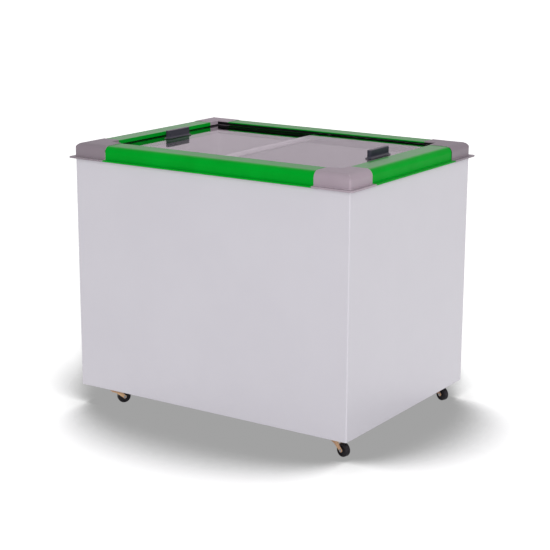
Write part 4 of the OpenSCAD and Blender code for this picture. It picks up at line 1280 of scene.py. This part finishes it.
@dataclass
class Studio:
    """Pale floor, soft surround, a distant key lamp, a near lamp and the camera."""

    floor_side: float = 60.0
    floor_level: float = -0.0005
    floor_tone: float = 0.8
    shown_tone: float = 1.34
    own_tone: float = 0.36
    shade_reach: float = 1.5
    shade_samples: int = 48
    shade_span: tuple[float, float] = (0.58, 0.87)
    floor_lean: Triple = (0.50, -0.78, 0.37)
    sky_low: float = 0.17
    sky_high: float = 0.16
    front_glow: float = 0.42
    front_direction: Triple = (0.93, -0.30, 0.20)
    rear_glow: float = 0.75
    rear_direction: Triple = (-0.70, 0.68, 0.22)
    mirror_low: Colour = (0.58, 0.507, 0.57)
    mirror_high: Colour = (0.95, 0.93, 0.95)
    key: Lamp = Lamp("broad_key", 1.12, 30.0, 44.0, 19.0)
    near_place: Triple = (2.11, -3.17, 1.52)
    near_power: float = 11.6
    near_radius: float = 0.2
    camera_place: Triple = (2.4817, -3.7260, 1.5077)
    camera_turn: Triple = (32.81, 14.362, 0.418)
    sensor: float = 36.0
    lens: float = 98.8
    shift: tuple[float, float] = (-0.0364, 0.0231)

    def build(self) -> None:
        """Builds the floor, the surround, the lamps and the camera."""
        self._floor()
        self._surround()
        self.key.hang()
        self._near_lamp()
        self._camera()
        log.info("studio: floor, surround, two lamps and camera")

    def _floor(self) -> None:
        """Lays the floor, which looks white to the camera where nothing shades it."""
        half = self.floor_side / 2.0
        around = ((-half, -half), (half, -half), (half, half), (-half, half))
        work = bmesh.new()
        work.faces.new([work.verts.new(Vector((x, y, self.floor_level))) for x, y in around])
        floor = to_object("studio_floor", work)
        graph = Surface("floor_white")
        sky = graph.add("ShaderNodeAmbientOcclusion", {"Distance": self.shade_reach}, samples=self.shade_samples)
        tone = graph.remap(sky.outputs["AO"], *self.shade_span)
        shown = graph.shader("ShaderNodeBsdfDiffuse", {
            "Color": graph.blend(tone, (0.0, 0.0, 0.0), (self.shown_tone,) * 3),
            "Normal": tuple(Vector(self.floor_lean).normalized()),
        })
        own = graph.shader("ShaderNodeEmission", {"Strength": self.own_tone})
        whole = graph.shader("ShaderNodeAddShader", {0: shown, 1: own})
        lit = graph.shader("ShaderNodeBsdfDiffuse", {"Color": (*(self.floor_tone,) * 3, 1.0)})
        floor.data.materials.append(graph.close(graph.mix(self._shown_white(graph), lit, whole)))

    @staticmethod
    def _shown_white(graph: Graph) -> Link:
        """Finds the rays that see the white background: direct, mirrored, or through clear glass.

        Args:
            graph: The graph to add to.

        Returns:
            The socket of a mask that is 1 for those rays.
        """
        path = graph.add("ShaderNodeLightPath").outputs
        first = graph.math("LESS_THAN", path["Diffuse Depth"], 0.5)
        through = graph.math("MAXIMUM", path[Ray.TRANSMISSION.value], path[Ray.GLOSSY.value])
        return graph.math("MAXIMUM", path[Ray.CAMERA.value], graph.product(through, first))

    def _surround(self) -> None:
        """Makes the soft surround: white behind the freezer, faintly mauve where shiny surfaces mirror it."""
        world = bpy.data.worlds.new("soft_surround")
        world.use_nodes = True
        bpy.context.scene.world = world
        graph = Graph(world.node_tree)
        way = graph.add("ShaderNodeTexCoord").outputs["Generated"]
        height = graph.split(way)["Z"]
        level = graph.remap(height, 0.0, 1.0, self.sky_low, self.sky_high)
        for direction, strength in ((self.front_direction, self.front_glow), (self.rear_direction, self.rear_glow)):
            facing = graph.vector("DOT_PRODUCT", way, tuple(Vector(direction).normalized()))["Value"]
            level = graph.math("ADD", level, graph.remap(facing, 0.1, 1.0, 0.0, strength))
        white = (1.0, 1.0, 1.0, 1.0)
        light = graph.shader("ShaderNodeBackground", {"Color": white, "Strength": level})
        plain = graph.shader("ShaderNodeBackground", {"Color": white})
        mauve = graph.blend(graph.remap(height, 0.1, 0.9), self.mirror_low, self.mirror_high)
        shine = graph.shader("ShaderNodeBackground", {"Color": mauve})
        mirrored = graph.add("ShaderNodeLightPath").outputs[Ray.GLOSSY.value]
        mixed = graph.mix(self._shown_white(graph), light, graph.mix(mirrored, plain, shine))
        graph.add("ShaderNodeOutputWorld", {"Surface": mixed})

    def _near_lamp(self) -> None:
        """Hangs the small lamp near the camera, whose light is the same at every distance."""
        data = bpy.data.lights.new("near_lamp", "POINT")
        data.energy = self.near_power
        data.shadow_soft_size = self.near_radius
        data.use_nodes = True
        graph = Graph(data.node_tree)
        even = graph.add("ShaderNodeLightFalloff", {"Strength": 1.0}).outputs["Constant"]
        graph.add("ShaderNodeOutputLight", {"Surface": graph.shader("ShaderNodeEmission", {"Strength": even})})
        hang(data, Matrix.Translation(self.near_place))

    def _camera(self) -> None:
        """Sets the camera in front of the right-hand corner, a little above the lids."""
        azimuth, elevation, roll = (math.radians(angle) for angle in self.camera_turn)
        right = Vector((math.cos(azimuth), math.sin(azimuth), 0.0))
        back = heading(azimuth, elevation)
        up = back.cross(right)
        across = right * math.cos(roll) + up * math.sin(roll)
        upward = up * math.cos(roll) - right * math.sin(roll)
        turned = Matrix((across, upward, back)).transposed().to_4x4()
        data = bpy.data.cameras.new("camera")
        data.sensor_width = self.sensor
        data.lens = self.lens
        data.shift_x, data.shift_y = self.shift
        bpy.context.scene.camera = put("camera", data, Matrix.Translation(self.camera_place) @ turned)


def main() -> None:
    """Dresses the freezer, adds its small fittings and sets up the studio."""
    bpy.context.scene.view_settings.view_transform = "Standard"
    wardrobe = Wardrobe()
    wardrobe.dress_frame(frame["nodes"])
    CrossScrews().build("rear_panel_screws", Vector((0.0, 1.0, 0.0)), wardrobe)
    CrossScrews().build("grille_screws", Vector((-1.0, 0.0, 0.0)), wardrobe)
    VentHoods().build(wardrobe)
    ThermostatDial().build(wardrobe)
    DrainStopper().build(wardrobe)
    Studio().build()


if __name__ == "__main__":
    main()
